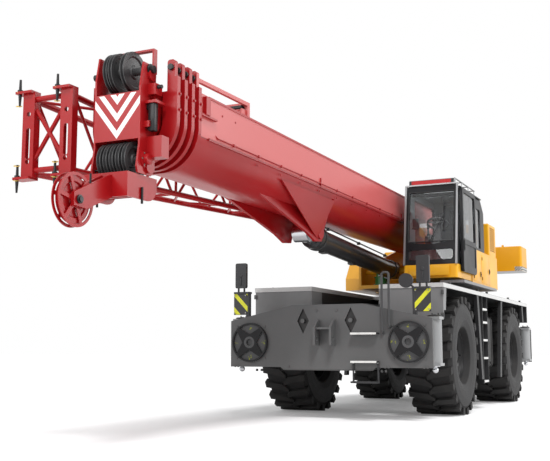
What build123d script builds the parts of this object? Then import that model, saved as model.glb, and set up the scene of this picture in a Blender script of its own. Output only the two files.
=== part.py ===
from build123d import *
import os
from math import cos, hypot, radians, sin

os.makedirs("parts", exist_ok=True)

# Rough-terrain crane, millimetres. Forward is -Y, the vehicle's left is +X, up is +Z.
# The origin is on the ground, in the middle of the overall length and width.

# ---- wheels and axles ----
tyre_radius = 935            # out to the lugs' tips
tyre_width = 750
bead_radius = 414            # where the tyre meets the rim
lug_depth = 48
lug_count = 22
track = 2430
wheelbase = 4150
kingpin_inset = 315          # wheel's middle to its kingpin
axle_tube_radius = 150
differential_radius = 240
hub_radius = 185

# ---- overall places along the vehicle, from the slewing centre ----
slew_to_front_axle = 2600
tail_radius = 3450           # counterweight's rear face behind the slewing centre
foot_setback = 1250          # boom foot pin behind the slewing centre
boom_reach = 11190           # boom foot pin to the head plate's face
nose_reach = 890             # head plate's face to the foremost point of the nose sheave

slew_y = (boom_reach + nose_reach - foot_setback - tail_radius) / 2
front_axle_y = slew_y - slew_to_front_axle
rear_axle_y = front_axle_y + wheelbase
foot_y = slew_y + foot_setback
head_y = foot_y - boom_reach
axle_z = tyre_radius

# ---- carrier ----
body_width = 3200
frame_width = 840
frame_low = 1180             # over the axles
frame_high = 1720
flange_proud = 10
flange_thickness = 25
front_overhang = 1975        # front axle to the front plate's face
rear_overhang = 1830         # rear axle to the rear plate's face
plate_thickness = 40
plate_low = 765
plate_sag = 45               # how much lower the plate's middle hangs
plate_high = 1465            # at its outer ends
plate_peak = 1690            # in its middle
peak_width = 1120
tube_depth = 290             # one outrigger tube, outside, along Y
tube_height = 440
tube_low = 850
tube_wall = 18
beam_gap = 6
beam_wall = 22
jack_radius = 105
jack_leg_radius = 70
jack_gap = 4
jack_x = 1500
jack_low = 790
jack_high = 1500
ball_radius = 45
deck_height = 2020
deck_thickness = 70
deck_half = 1570             # middle line to the deck's outer edge
channel_half = 560           # half of the open channel between the two deck boxes
deck_front = 1215            # ahead of the front axle
deck_rear = 1640             # behind the rear axle

front_face_y = front_axle_y - front_overhang
rear_face_y = rear_axle_y + rear_overhang
deck_front_y = front_axle_y - deck_front
deck_rear_y = rear_axle_y + deck_rear
box_depth = 2 * tube_depth + plate_thickness
tube_high = tube_low + tube_height

# ---- superstructure ----
ring_radius = 760
ring_high = 2095
table_gap = 15               # slewing ring's top to the turntable
table_plate = 60
cheek_x = 490                # inner face of each boom cheek plate
cheek_thickness = 40
boom_low = 2860
boom_height = 800
boom_width = 940
boom_round = 400             # radius of the boom's bottom corners
foot_z = 3060
foot_pin_radius = 75
cyl_foot_z = 2440
cyl_foot_ahead = 1400        # lift cylinder's foot ahead of the slewing centre
cyl_pin_ahead = 6700         # lift cylinder's boom pin ahead of the boom foot pin
cyl_pin_z = 2660
cyl_radius = 170
rod_radius = 120
cyl_pin_radius = 60
cw_low = 2720
cw_high = 3260
cw_width = 3120
cw_depth = 650

cyl_foot_y = slew_y - cyl_foot_ahead
cyl_pin_y = foot_y - cyl_pin_ahead
table_low = ring_high + table_gap
table_high = table_low + table_plate
boom_high = boom_low + boom_height
cheek_outer_x = cheek_x + cheek_thickness

# ---- boom sections ----
section_wall = 16
section_step = 40            # outer face of one section to the outer face of the next
collar_proud = 34
collar_length = 55
collar_pitch = 140
collar_setback = 710         # head plate's face to the base section's collar face
end_setback = 180            # head plate's face to the last section's end frame
base_tail = 120              # base section behind its foot pin

# ---- cab ----
cab_inner_x = 620
cab_outer_x = 1520
cab_floor = 2430
cab_roof = 3740
cab_wall = 60
cab_front = 60               # cab front foot ahead of the front axle
cab_length = 1950
base_low = 2180
door_gap = 20                # clears the cab's side panel
door_thickness = 45

cab_front_y = front_axle_y - cab_front
cab_rear_y = cab_front_y + cab_length
cab_mid_x = (cab_inner_x + cab_outer_x) / 2
cab_wide = cab_outer_x - cab_inner_x


def finish(piece, name):
    """Label a finished piece and write its STEP file."""
    piece.part.label = name
    export_step(piece.part, f"parts/{name}.step")


# ================================================================ carrier
# Chassis: a deep welded box, arched over the axles, with flanges along its top and bottom edges.
frame_front_y = front_face_y + box_depth
frame_rear_y = rear_face_y - box_depth
arch_reach = 420             # half length of the raised stretch over an axle
arch_run = 180               # end of the frame to where the bottom starts to rise
with BuildPart() as chassis_frame:
    with BuildSketch(Plane.YZ.offset(-frame_width / 2)):
        with BuildLine():
            Polyline(
                (frame_front_y, tube_low), (frame_front_y, frame_high), (frame_rear_y, frame_high),
                (frame_rear_y, tube_low), (frame_rear_y - arch_run, tube_low), (rear_axle_y + arch_reach, frame_low),
                (rear_axle_y - arch_reach, frame_low), (rear_axle_y - arch_reach - arch_run, frame_low - 100),
                (front_axle_y + arch_reach + arch_run, frame_low - 100), (front_axle_y + arch_reach, frame_low),
                (front_axle_y - arch_reach, frame_low), (frame_front_y + arch_run, tube_low), close=True,
            )
        make_face()
    extrude(amount=frame_width)
    for z in (frame_high - flange_thickness, frame_low):
        with BuildSketch(Plane.XY.offset(z)):
            with Locations((0, (frame_front_y + frame_rear_y) / 2)):
                Rectangle(frame_width + 2 * flange_proud, frame_rear_y - frame_front_y)
        extrude(amount=flange_thickness)
    # round access holes in both side plates, between the axles
    hole_pitch = 420
    with BuildSketch(Plane.YZ.offset(frame_width / 2 - 40)):
        with Locations(((front_axle_y + rear_axle_y) / 2, (frame_low + frame_high) / 2)):
            with GridLocations(hole_pitch, 0, 5, 1):
                Circle(110)
    extrude(amount=60, mode=Mode.SUBTRACT)
    with BuildSketch(Plane.YZ.offset(-frame_width / 2 + 40)):
        with Locations(((front_axle_y + rear_axle_y) / 2, (frame_low + frame_high) / 2)):
            with GridLocations(hole_pitch, 0, 5, 1):
                Circle(110)
    extrude(amount=-60, mode=Mode.SUBTRACT)
finish(chassis_frame, "chassis_frame")

# Outrigger boxes: a face plate, two beam tubes behind it and ribs that carry the plate's upper edge.
diamond_x = 380
diamond_z = 1450
diamond_half = (95, 190)
tow_plate_x = 110            # inner faces of the tow bracket's cheeks
tow_plate_thickness = 35
tow_reach = 190
tow_z = (1090, 1460)
tow_pin_z = 1180
tow_pin_radius = 30
rib_places = (-1000, -380, 380, 1000)
for end, face_y, inward in (("front", front_face_y, 1), ("rear", rear_face_y, -1)):
    back_y = face_y + inward * plate_thickness
    with BuildPart() as outrigger_box:
        with BuildSketch(Plane.XZ.offset(-back_y)):
            with BuildLine():
                half, peak = body_width / 2, peak_width / 2
                Polyline(
                    (-half, plate_low), (-half + 850, plate_low), (-half + 900, plate_low - plate_sag),
                    (half - 900, plate_low - plate_sag), (half - 850, plate_low), (half, plate_low),
                    (half, plate_high), (peak, plate_peak), (-peak, plate_peak), (-half, plate_high), close=True,
                )
            make_face()
        extrude(amount=inward * plate_thickness)
        # two shallow diamond pockets, each with a lifting knob
        with BuildSketch(Plane.XZ.offset(-face_y)):
            for x in (-diamond_x, diamond_x):
                with BuildLine():
                    Polyline((x - diamond_half[0], diamond_z), (x, diamond_z + diamond_half[1]),
                             (x + diamond_half[0], diamond_z), (x, diamond_z - diamond_half[1]), close=True)
                make_face()
        extrude(amount=-inward * (plate_thickness - 12), mode=Mode.SUBTRACT)
        with BuildSketch(Plane.XZ.offset(-back_y)):
            with Locations((-diamond_x, diamond_z), (diamond_x, diamond_z)):
                Circle(32)
        extrude(amount=inward * (plate_thickness + 25))
        # tow bracket at the front: two cheeks and a cap, bored for the pin
        for side in (1, -1) if end == "front" else ():
            with BuildSketch(Plane.YZ.offset(side * tow_plate_x)):
                with BuildLine():
                    Polyline(
                        (face_y, tow_z[0]), (face_y, tow_z[1]), (face_y - inward * 60, tow_z[1]),
                        (face_y - inward * tow_reach, tow_z[1] - 110), (face_y - inward * tow_reach, tow_z[0]),
                        close=True,
                    )
                make_face()
            extrude(amount=side * tow_plate_thickness)
        if end == "front":
            with BuildSketch(Plane.XY.offset(tow_z[1] - 140)):
                with Locations((0, face_y - inward * (tow_reach - 40) / 2)):
                    Rectangle(2 * tow_plate_x, tow_reach - 40)
            extrude(amount=30)
            with BuildSketch(Plane.YZ.offset(-tow_plate_x - tow_plate_thickness)):
                with Locations((face_y - inward * (tow_reach - 70), tow_pin_z)):
                    Circle(tow_pin_radius)
            extrude(amount=2 * (tow_plate_x + tow_plate_thickness), mode=Mode.SUBTRACT)
        for row in (0, 1):
            row_y = back_y + inward * tube_depth * (row + 0.5)
            with BuildSketch(Plane.YZ.offset(-(jack_x - jack_radius - 25))):
                with Locations((row_y, tube_low + tube_height / 2)):
                    Rectangle(tube_depth, tube_height)
                    Rectangle(tube_depth - 2 * tube_wall, tube_height - 2 * tube_wall, mode=Mode.SUBTRACT)
            extrude(amount=2 * (jack_x - jack_radius - 25))
        for x in rib_places:
            rib_high = plate_peak if abs(x) < peak_width / 2 else plate_high + 100
            with BuildSketch(Plane.YZ.offset(x - 10)):
                with BuildLine():
                    Polyline(
                        (back_y, tube_high), (back_y, rib_high - 15), (back_y + inward * 120, rib_high - 15),
                        (back_y + inward * 2 * tube_depth, tube_high + 60),
                        (back_y + inward * 2 * tube_depth, tube_high), close=True,
                    )
                make_face()
            extrude(amount=20)
    finish(outrigger_box, f"outrigger_box_{end}")

# ---------------------------------------------------------------- outriggers
# corner, sign of X, face of its box, direction into the box, tube row (0 is next to the plate)
outriggers = [
    ("fl", 1, front_face_y, 1, 1),
    ("fr", -1, front_face_y, 1, 0),
    ("rl", 1, rear_face_y, -1, 0),
    ("rr", -1, rear_face_y, -1, 1),
]
beam_depth = tube_depth - 2 * tube_wall - 2 * beam_gap
beam_height = tube_height - 2 * tube_wall - 2 * beam_gap
beam_z = tube_low + tube_height / 2
beam_length = 2700
for corner, side, face_y, inward, row in outriggers:
    row_y = face_y + inward * (plate_thickness + tube_depth * (row + 0.5))
    outer_x = jack_x - jack_radius + 15
    with BuildPart() as beam:
        with BuildSketch(Plane.YZ.offset(side * (outer_x - beam_length))):
            with Locations((row_y, beam_z)):
                Rectangle(beam_depth, beam_height)
                Rectangle(beam_depth - 2 * beam_wall, beam_height - 2 * beam_wall, mode=Mode.SUBTRACT)
        extrude(amount=side * beam_length)
        with BuildSketch(Plane.YZ.offset(side * (outer_x - 25))):
            with Locations((row_y, beam_z)):
                Rectangle(beam_depth, beam_height)
        extrude(amount=side * 25)
        with BuildSketch(Plane.XY.offset(jack_low)):
            with Locations((side * jack_x, row_y)):
                Circle(jack_radius)
        extrude(amount=jack_high - jack_low)
        # flanged foot and head of the jack tube
        for z in (jack_low, jack_high - 40):
            with BuildSketch(Plane.XY.offset(z)):
                with Locations((side * jack_x, row_y)):
                    Rectangle(2 * jack_radius, 2 * jack_radius + 20)
            extrude(amount=40)
        with BuildSketch(Plane.XY.offset(jack_low)):
            with Locations((side * jack_x, row_y)):
                Circle(jack_leg_radius + jack_gap)
        extrude(amount=jack_high - jack_low - 30, mode=Mode.SUBTRACT)
    finish(beam, f"outrigger_beam_{corner}")

    ball_z = jack_low - 60
    neck_radius = 28
    neck_z = ball_z + (ball_radius**2 - neck_radius**2) ** 0.5
    leg_high = jack_high - 60
    with BuildPart() as leg:
        with BuildSketch(Plane.XZ.offset(-row_y)):
            with BuildLine():
                Polyline((0, leg_high), (jack_leg_radius, leg_high), (jack_leg_radius, jack_low - 10),
                         (neck_radius, jack_low - 10), (neck_radius, neck_z))
                ThreePointArc((neck_radius, neck_z), (ball_radius, ball_z), (0, ball_z - ball_radius))
                Line((0, ball_z - ball_radius), (0, leg_high))
            make_face()
        revolve(axis=Axis((0, row_y, 0), (0, 0, 1)))
    with BuildPart() as jack_leg:
        add(leg.part.moved(Location((side * jack_x, 0, 0))))
    finish(jack_leg, f"jack_leg_{corner}")

# Outrigger floats, stowed on the face plates: a dished disc with a rim, four ribs and a ball socket.
float_radius = 295
float_plate = 20
float_rim = 55
float_x = 1257
float_z = 1135
with BuildPart() as stowed_floats:
    for face_y, outward in ((front_face_y, -1), (rear_face_y, 1)):
        places = [(float_x, float_z), (-float_x, float_z)]
        with BuildSketch(Plane.XZ.offset(-face_y)):
            with Locations(places):
                Circle(float_radius)
        extrude(amount=-outward * float_plate)
        with BuildSketch(Plane.XZ.offset(-(face_y + outward * float_plate))):
            with Locations(places):
                Circle(float_radius)
                Circle(float_radius - 22, mode=Mode.SUBTRACT)
                with PolarLocations(float_radius * 0.5, 4, start_angle=45):
                    Trapezoid(200, float_radius - 40, 75, rotation=-90)
                Circle(80)
                Circle(ball_radius + 6, mode=Mode.SUBTRACT)
        extrude(amount=-outward * (float_rim - float_plate))
finish(stowed_floats, "stowed_floats")

# ---------------------------------------------------------------- deck
# Two flat deck boxes with a dark open channel between them, carried on slanted struts round the wheels.
strut_top = 1010             # strut's upper edge ahead of or behind its axle
strut_foot = 1250
strut_width = 130
strut_low = 520
strut_thickness = 60
skirt_thickness = 30
skirt_low = 1480             # lower edge of the panel at the deck's front
skirt_low_rear = 1610        # over the rear outrigger jacks
channel_wall = 20
ring_hole = ring_radius + 40
with BuildPart() as deck:
    box_middle = (deck_half + channel_half) / 2
    box_wide = deck_half - channel_half
    deck_low = deck_height - deck_thickness
    for side in (1, -1):
        with BuildSketch(Plane.XY.offset(deck_low)):
            with Locations((side * box_middle, (deck_front_y + deck_rear_y) / 2)):
                Rectangle(box_wide, deck_rear_y - deck_front_y)
        extrude(amount=deck_thickness)
        # front and rear end panels below the deck's edge
        for end_y, inward, low in ((deck_front_y + 10, 1, skirt_low), (deck_rear_y - 10, -1, skirt_low_rear)):
            with BuildSketch(Plane.XZ.offset(-end_y)):
                with Locations((side * box_middle, (low + deck_low) / 2)):
                    Rectangle(box_wide - 20, deck_low - low)
            extrude(amount=-inward * skirt_thickness)
        # wall of the open channel, down to the chassis
        with BuildSketch(Plane.XY.offset(frame_high)):
            with Locations((side * (channel_half + channel_wall / 2), (deck_front_y + deck_rear_y) / 2)):
                Rectangle(channel_wall, deck_rear_y - deck_front_y)
        extrude(amount=deck_low - frame_high)
        for axle_y in (front_axle_y, rear_axle_y):
            for toward in (1, -1):
                outside = (axle_y == front_axle_y) == (toward == -1)
                low = skirt_low_rear if outside else strut_low
                drop = (deck_low - low) / (deck_low - strut_low)
                top_y = axle_y + toward * strut_top
                foot_edge_y = top_y + toward * (strut_foot - strut_top) * drop
                with BuildSketch(Plane.YZ.offset(side * (deck_half - 10))):
                    with BuildLine():
                        Polyline(
                            (top_y, deck_low), (top_y + toward * strut_width, deck_low),
                            (foot_edge_y + toward * strut_width, low), (foot_edge_y, low), close=True,
                        )
                    make_face()
                extrude(amount=-side * strut_thickness)
    # cross decks at the slewing ring and at the rear
    with BuildSketch(Plane.XY.offset(deck_low)):
        with Locations((0, slew_y)):
            Rectangle(2 * channel_half + 2, 2 * ring_radius + 200)
    extrude(amount=deck_thickness)
    with BuildSketch(Plane.XY.offset(frame_high)):
        with Locations((0, slew_y)):
            Circle(ring_hole)
    extrude(amount=deck_height - frame_high, mode=Mode.SUBTRACT)
    # bonnet over the engine, between the deck boxes, with slots across its top
    bonnet_front_y = slew_y + ring_radius + 400
    bonnet_slots = 9
    with BuildSketch(Plane.XY.offset(deck_low)):
        with Locations((0, (bonnet_front_y + deck_rear_y) / 2)):
            Rectangle(2 * channel_half + 2, deck_rear_y - bonnet_front_y)
    extrude(amount=deck_thickness)
    with BuildSketch(Plane.XY.offset(deck_height - 30)):
        with Locations((0, (bonnet_front_y + deck_rear_y) / 2)):
            with GridLocations(0, 110, 1, bonnet_slots):
                Rectangle(760, 45)
    extrude(amount=30, mode=Mode.SUBTRACT)
finish(deck, "deck")

# Tanks and lockers between the wheels: fuel on the left, hydraulic oil on the right.
tank_gap = 45                # struts to the tanks
tank_front_y = front_axle_y + strut_foot + strut_width + tank_gap + 420
tank_rear_y = rear_axle_y - strut_foot - strut_width - tank_gap
tank_low = 700
tank_high = 1640
locker_depth = 380
strap_proud = 8
with BuildPart() as side_tanks:
    for side in (1, -1):
        inner_x = frame_width / 2 + flange_proud + strap_proud + 2
        outer_x = deck_half - 130
        with BuildSketch(Plane.XZ.offset(-tank_front_y)):
            with Locations((side * (inner_x + outer_x) / 2, (tank_low + tank_high) / 2)):
                RectangleRounded(outer_x - inner_x, tank_high - tank_low, 90)
        extrude(amount=-(tank_rear_y - tank_front_y))
        # straps round the tank
        for y in (tank_front_y + 80, tank_rear_y - 120):
            with BuildSketch(Plane.XZ.offset(-y)):
                with Locations((side * (inner_x + outer_x) / 2, (tank_low + tank_high) / 2)):
                    RectangleRounded(outer_x - inner_x + 2 * strap_proud, tank_high - tank_low + 2 * strap_proud, 98)
            extrude(amount=-40)
        # shallow locker behind the ladder
        with BuildSketch(Plane.XY.offset(tank_low + 150)):
            with Locations((side * (inner_x + 300), tank_front_y - locker_depth / 2)):
                Rectangle(600, locker_depth)
        extrude(amount=560)
finish(side_tanks, "side_tanks")

# ---------------------------------------------------------------- ladders, rails and mirrors
ladder_width = 400
ladder_depth = 150
ladder_y = front_axle_y + strut_foot + strut_width + 15
rung_heights = (480, 880, 1190, 1500, 1730)
rung_thickness = 35
rail_thickness = 18
step_x = 610                 # middle of the front steps
step_heights = (545, 835, 1240)
handrail_radius = 17
handrail_high = 2130
with BuildPart() as ladders:
    for side in (1, -1):
        rail_x = side * (deck_half - ladder_depth / 2)
        for rail_y in (ladder_y, ladder_y + ladder_width - rail_thickness):
            with BuildSketch(Plane.XY.offset(rung_heights[0] - 40)):
                with Locations((rail_x, rail_y + rail_thickness / 2)):
                    Rectangle(ladder_depth - 20, rail_thickness)
            extrude(amount=deck_height - deck_thickness - rung_heights[0] + 40)
        for z in rung_heights:
            with BuildSketch(Plane.XZ.offset(-ladder_y)):
                with Locations((rail_x, z)):
                    Rectangle(ladder_depth - 20, rung_thickness)
            extrude(amount=-ladder_width)
            with BuildSketch(Plane.XY.offset(z - rung_thickness / 2)):
                with Locations((rail_x, ladder_y + ladder_width / 2)):
                    with GridLocations(0, 90, 1, 4):
                        SlotOverall(80, 34)
            extrude(amount=rung_thickness, mode=Mode.SUBTRACT)
finish(ladders, "ladders")

# Front steps on the face plate, with a hoop handrail beside them.
with BuildPart() as front_steps:
    for z in step_heights:
        with BuildSketch(Plane.XY.offset(z)):
            with Locations((step_x, front_face_y - 60)):
                Rectangle(ladder_width, 120)
        extrude(amount=28)
    for x in (step_x - ladder_width / 2 + 10, step_x + ladder_width / 2 - 10):
        with BuildSketch(Plane.XY.offset(step_heights[0])):
            with Locations((x, front_face_y - 14)):
                Rectangle(20, 28)
        extrude(amount=step_heights[1] - step_heights[0] + 10)
    # hoop handrail from the face plate over to the deck
    hoop_x = step_x + ladder_width / 2 + 70
    hoop_width = 105
    with BuildLine():
        FilletPolyline(
            (hoop_x, front_face_y, 1260), (hoop_x, front_face_y - 55, 1260),
            (hoop_x, front_face_y - 55, handrail_high), (hoop_x + hoop_width, front_face_y - 55, handrail_high),
            (hoop_x + hoop_width, front_face_y - 55, 1340), (hoop_x + hoop_width, front_face_y, 1340), radius=38,
        )
    with BuildSketch(Plane.XZ.offset(-front_face_y)):
        with Locations((hoop_x, 1260)):
            Circle(handrail_radius)
    sweep()
finish(front_steps, "front_steps")

# Mirror stands at the front corners: a foot on the outrigger tube, a marker board, two stays, a mirror.
stand_x = 1335
stand_y = front_face_y + 75
marker = (170, 330)          # width, height of the marker board
marker_low = jack_high + 60
mirror_size = (190, 390)
mirror_low = 1975
disc_radius = 105
with BuildPart() as mirrors:
    for side in (1, -1):
        with BuildSketch(Plane.XY.offset(tube_high)):
            with Locations((side * stand_x, stand_y)):
                Rectangle(60, 60)
        extrude(amount=marker_low + marker[1] - tube_high)
        with BuildSketch(Plane.XZ.offset(-(stand_y - 30))):
            with Locations((side * (stand_x + 120), marker_low + marker[1] / 2)):
                Rectangle(marker[0] + 70, marker[1])
        extrude(amount=-25)
        with BuildSketch(Plane.XY.offset(marker_low + marker[1] - 5)):
            with Locations((side * (stand_x + 100), stand_y)):
                Rectangle(260, 110)
        extrude(amount=30)
        with BuildSketch(Plane.XY.offset(marker_low + marker[1])):
            with Locations((side * (stand_x + 75), stand_y), (side * (stand_x + 175), stand_y)):
                Circle(15)
        extrude(amount=mirror_low + 120 - marker_low - marker[1])
        with BuildSketch(Plane.XZ.offset(-(stand_y + 25))):
            with Locations((side * (stand_x + 125), mirror_low + mirror_size[1] / 2)):
                RectangleRounded(mirror_size[0], mirror_size[1], 25)
        extrude(amount=50)
    # round wide-angle mirror on its own arm, left side
    disc_x, disc_z = stand_x - 130, 2010
    with BuildSketch(Plane.XZ.offset(-(stand_y + 12))):
        with Locations((disc_x, disc_z)):
            Circle(disc_radius)
    extrude(amount=30)
    with BuildSketch(Plane.XZ.offset(-(stand_y + 8))):
        with BuildLine():
            Polyline((disc_x, disc_z - 15), (stand_x, marker_low + marker[1] - 20),
                     (stand_x, marker_low + marker[1] + 20), (disc_x, disc_z + 15), close=True)
        make_face()
    extrude(amount=18)
finish(mirrors, "mirrors")

# ---------------------------------------------------------------- axles and what drives them
fork_reach = 135             # axle beam's end short of the kingpin
saddle_x = 340
saddle_half = 110
yoke_web = 115               # yoke's web short of the kingpin
yoke_half = 75
yoke_plate = 40
yoke_eye = 90
kingpin_half = 220           # kingpin barrel's half height
kingpin_gap = 2
shaft_radius = 55
kingpin_x = track / 2 - kingpin_inset
with BuildPart() as axles:
    inner = kingpin_x - fork_reach
    for axle_y, toward in ((front_axle_y, 1), (rear_axle_y, -1)):
        with BuildSketch(Plane.YZ.offset(-inner)):
            with Locations((axle_y, axle_z)):
                Circle(axle_tube_radius)
        extrude(amount=2 * inner)
        with BuildSketch(Plane.XY.offset(axle_z)):
            with BuildLine():
                Polyline((-differential_radius - 60, axle_y), (-130, axle_y - differential_radius),
                         (130, axle_y - differential_radius), (differential_radius + 60, axle_y), close=True)
            make_face()
        revolve(axis=Axis((0, axle_y, axle_z), (1, 0, 0)))
        # nose of the differential, towards the gearbox
        with BuildSketch(Plane.XZ.offset(-axle_y)):
            with Locations((0, axle_z)):
                Circle(150)
        extrude(amount=-toward * (differential_radius + 120), taper=12)
        # saddles up to the chassis
        for x in (-saddle_x, saddle_x):
            with BuildSketch(Plane.XZ.offset(-(axle_y - saddle_half))):
                with BuildLine():
                    Polyline((x - 75, axle_z + 60), (x + 75, axle_z + 60), (x + 60, frame_low), (x - 60, frame_low),
                             close=True)
                make_face()
            extrude(amount=-2 * saddle_half)
        # yokes: a web and two plates that hold the kingpin's ends
        for side in (1, -1):
            pin_at = side * kingpin_x
            high = kingpin_half + kingpin_gap
            with BuildSketch(Plane.XZ.offset(-(axle_y - yoke_half))):
                with BuildLine():
                    Polyline(
                        (side * (inner - 140), axle_z - 110), (side * (inner - 140), axle_z + 110),
                        (side * (inner - 30), axle_z + high + yoke_plate), (pin_at, axle_z + high + yoke_plate),
                        (pin_at, axle_z + high), (side * (kingpin_x - yoke_web), axle_z + high),
                        (side * (kingpin_x - yoke_web), axle_z - high), (pin_at, axle_z - high),
                        (pin_at, axle_z - high - yoke_plate), (side * (inner - 30), axle_z - high - yoke_plate),
                        close=True,
                    )
                make_face()
            extrude(amount=-2 * yoke_half)
            for low in (axle_z + high, axle_z - high - yoke_plate):
                with BuildSketch(Plane.XY.offset(low)):
                    with Locations((pin_at, axle_y)):
                        Circle(yoke_eye)
                extrude(amount=yoke_plate)
finish(axles, "axles")

# Gearbox under the chassis and the two propeller shafts.
with BuildPart() as drive_line:
    gearbox_y = (front_axle_y + rear_axle_y) / 2
    gearbox_half = 300
    with BuildSketch(Plane.YZ.offset(-240)):
        with BuildLine():
            Polyline(
                (gearbox_y - gearbox_half, axle_z - 100), (gearbox_y - gearbox_half + 90, frame_low - 100),
                (gearbox_y + gearbox_half - 90, frame_low - 100), (gearbox_y + gearbox_half, axle_z - 100),
                (gearbox_y + 140, axle_z - 190), (gearbox_y - 140, axle_z - 190), close=True,
            )
        make_face()
    extrude(amount=480)
    for axle_y, toward in ((front_axle_y, 1), (rear_axle_y, -1)):
        start_y = axle_y + toward * (differential_radius + 120)
        with BuildSketch(Plane.XZ.offset(-start_y)):
            with Locations((0, axle_z)):
                Circle(shaft_radius)
        extrude(amount=-(gearbox_y - toward * (gearbox_half - 20) - start_y))
finish(drive_line, "drive_line")

with BuildPart() as engine_block:
    with BuildSketch(Plane.XY.offset(frame_high)):
        with Locations((0, (bonnet_front_y + deck_rear_y) / 2)):
            Rectangle(700, deck_rear_y - bonnet_front_y - 100)
    extrude(amount=deck_height - deck_thickness - frame_high - 10)
finish(engine_block, "engine_block")

# Slewing ring: pedestal, toothed outer race and a bolted top flange.
ring_teeth = 72
with BuildPart() as slew_ring:
    with BuildSketch(Plane.XY.offset(frame_high)):
        with Locations((0, slew_y)):
            Circle(ring_radius - 60)
    extrude(amount=ring_high - frame_high)
    with BuildSketch(Plane.XY.offset(frame_high + 120)):
        with Locations((0, slew_y)):
            Circle(ring_radius - 25)
            with PolarLocations(ring_radius - 20, ring_teeth):
                Rectangle(26, 34)
    extrude(amount=120)
finish(slew_ring, "slew_ring")

# Lamps: square tail lamps on the rear plate.
with BuildPart() as lamps:
    with BuildSketch(Plane.XZ.offset(-rear_face_y)):
        with Locations((830, 880), (-830, 880)):
            Rectangle(190, 110)
    extrude(amount=-40)
finish(lamps, "lamps")

# ---------------------------------------------------------------- wheels
shoulder = tyre_radius - lug_depth
half_tyre = tyre_width / 2
with BuildPart() as tyre_form:
    with BuildSketch(Plane.XY):
        with BuildLine():
            Polyline(
                (-half_tyre + 135, bead_radius), (-half_tyre + 45, bead_radius + 40),
                (-half_tyre + 8, bead_radius + 150), (-half_tyre, bead_radius + 260),
                (-half_tyre + 16, shoulder - 85), (-half_tyre + 70, shoulder),
                (half_tyre - 70, shoulder), (half_tyre - 16, shoulder - 85), (half_tyre, bead_radius + 260),
                (half_tyre - 8, bead_radius + 150), (half_tyre - 45, bead_radius + 40),
                (half_tyre - 135, bead_radius), close=True,
            )
        make_face()
    revolve(axis=Axis.X)
    with BuildPart(mode=Mode.PRIVATE) as lug:
        with BuildSketch(Plane.XY.offset(shoulder - 55)):
            with BuildLine():
                Polyline((-half_tyre + 14, -30), (-half_tyre + 14, 78), (-60, 30), (30, -60), (30, -125),
                         (-60, -85), close=True)
            make_face()
        extrude(amount=lug_depth + 90)
    for index in range(lug_count):
        turn = 360 * index / lug_count
        add(lug.part.rotate(Axis.X, turn))
        add(lug.part.mirror(Plane.YZ).rotate(Axis.X, turn + 180 / lug_count))
    with BuildSketch(Plane.YZ.offset(-half_tyre)):
        Circle(tyre_radius + 200)
        Circle(tyre_radius, mode=Mode.SUBTRACT)
    extrude(amount=tyre_width, mode=Mode.SUBTRACT)

# Rim: five-piece earthmover rim with a lock ring, a dished disc and the axle's planetary hub.
rim_half = half_tyre - 135
rim_wall = 30
disc_at = 60                 # mounting disc, outboard of the wheel's middle
hub_face = rim_half - 10
with BuildPart() as rim_form:
    with BuildSketch(Plane.XY):
        with BuildLine():
            Polyline(
                (-rim_half, bead_radius), (rim_half, bead_radius), (rim_half, bead_radius - 26),
                (rim_half - 30, bead_radius - 40), (rim_half - 60, bead_radius - 40 - rim_wall),
                (disc_at + 110, bead_radius - 50 - rim_wall), (disc_at + 30, bead_radius - 110),
                (disc_at + 30, hub_radius + 60), (disc_at + 60, hub_radius + 50), (disc_at + 60, hub_radius),
                (hub_face - 60, hub_radius - 8), (hub_face - 30, hub_radius - 50), (hub_face - 30, 80),
                (hub_face, 70), (hub_face, 0), (disc_at - 70, 0), (disc_at - 70, hub_radius),
                (disc_at, hub_radius), (disc_at, bead_radius - 110), (disc_at + 60, bead_radius - 50 - rim_wall),
                (-rim_half + 60, bead_radius - 40 - rim_wall), (-rim_half + 30, bead_radius - 40),
                (-rim_half, bead_radius - 26), close=True,
            )
        make_face()
    revolve(axis=Axis.X)
    with BuildSketch(Plane.YZ.offset(disc_at + 20)):
        with PolarLocations(hub_radius + 30, 12):
            RegularPolygon(16, 6)
    extrude(amount=45)

# corner, sign of X, axle
corners = [("fl", 1, front_axle_y), ("fr", -1, front_axle_y), ("rl", 1, rear_axle_y), ("rr", -1, rear_axle_y)]
knuckle_gap = 2
steering_arm = 300
for corner, side, axle_y in corners:
    place = Location((side * track / 2, axle_y, axle_z))
    for form, name in ((tyre_form, "tyre"), (rim_form, "rim")):
        with BuildPart() as wheel_piece:
            add((form.part if side == 1 else form.part.mirror(Plane.YZ)).moved(place))
        finish(wheel_piece, f"{name}_{corner}")
    # steering knuckle: kingpin barrel, spindle and steering arm
    with BuildPart() as knuckle:
        with BuildSketch(Plane.XY.offset(axle_z - kingpin_half)):
            with Locations((side * kingpin_x, axle_y)):
                Circle(105)
        extrude(amount=2 * kingpin_half)
        with BuildSketch(Plane.YZ.offset(side * kingpin_x)):
            with Locations((axle_y, axle_z)):
                Circle(135)
        extrude(amount=side * (track / 2 + disc_at - 70 - knuckle_gap - kingpin_x), taper=0)
        toward = 1 if axle_y == front_axle_y else -1
        with BuildSketch(Plane.XY.offset(axle_z - 40)):
            with BuildLine():
                Polyline(
                    (side * (kingpin_x - 35), axle_y), (side * (kingpin_x + 60), axle_y),
                    (side * (kingpin_x + 35), axle_y + toward * steering_arm),
                    (side * (kingpin_x - 35), axle_y + toward * steering_arm), close=True,
                )
            make_face()
        extrude(amount=80)
    finish(knuckle, f"knuckle_{corner}")

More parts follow.
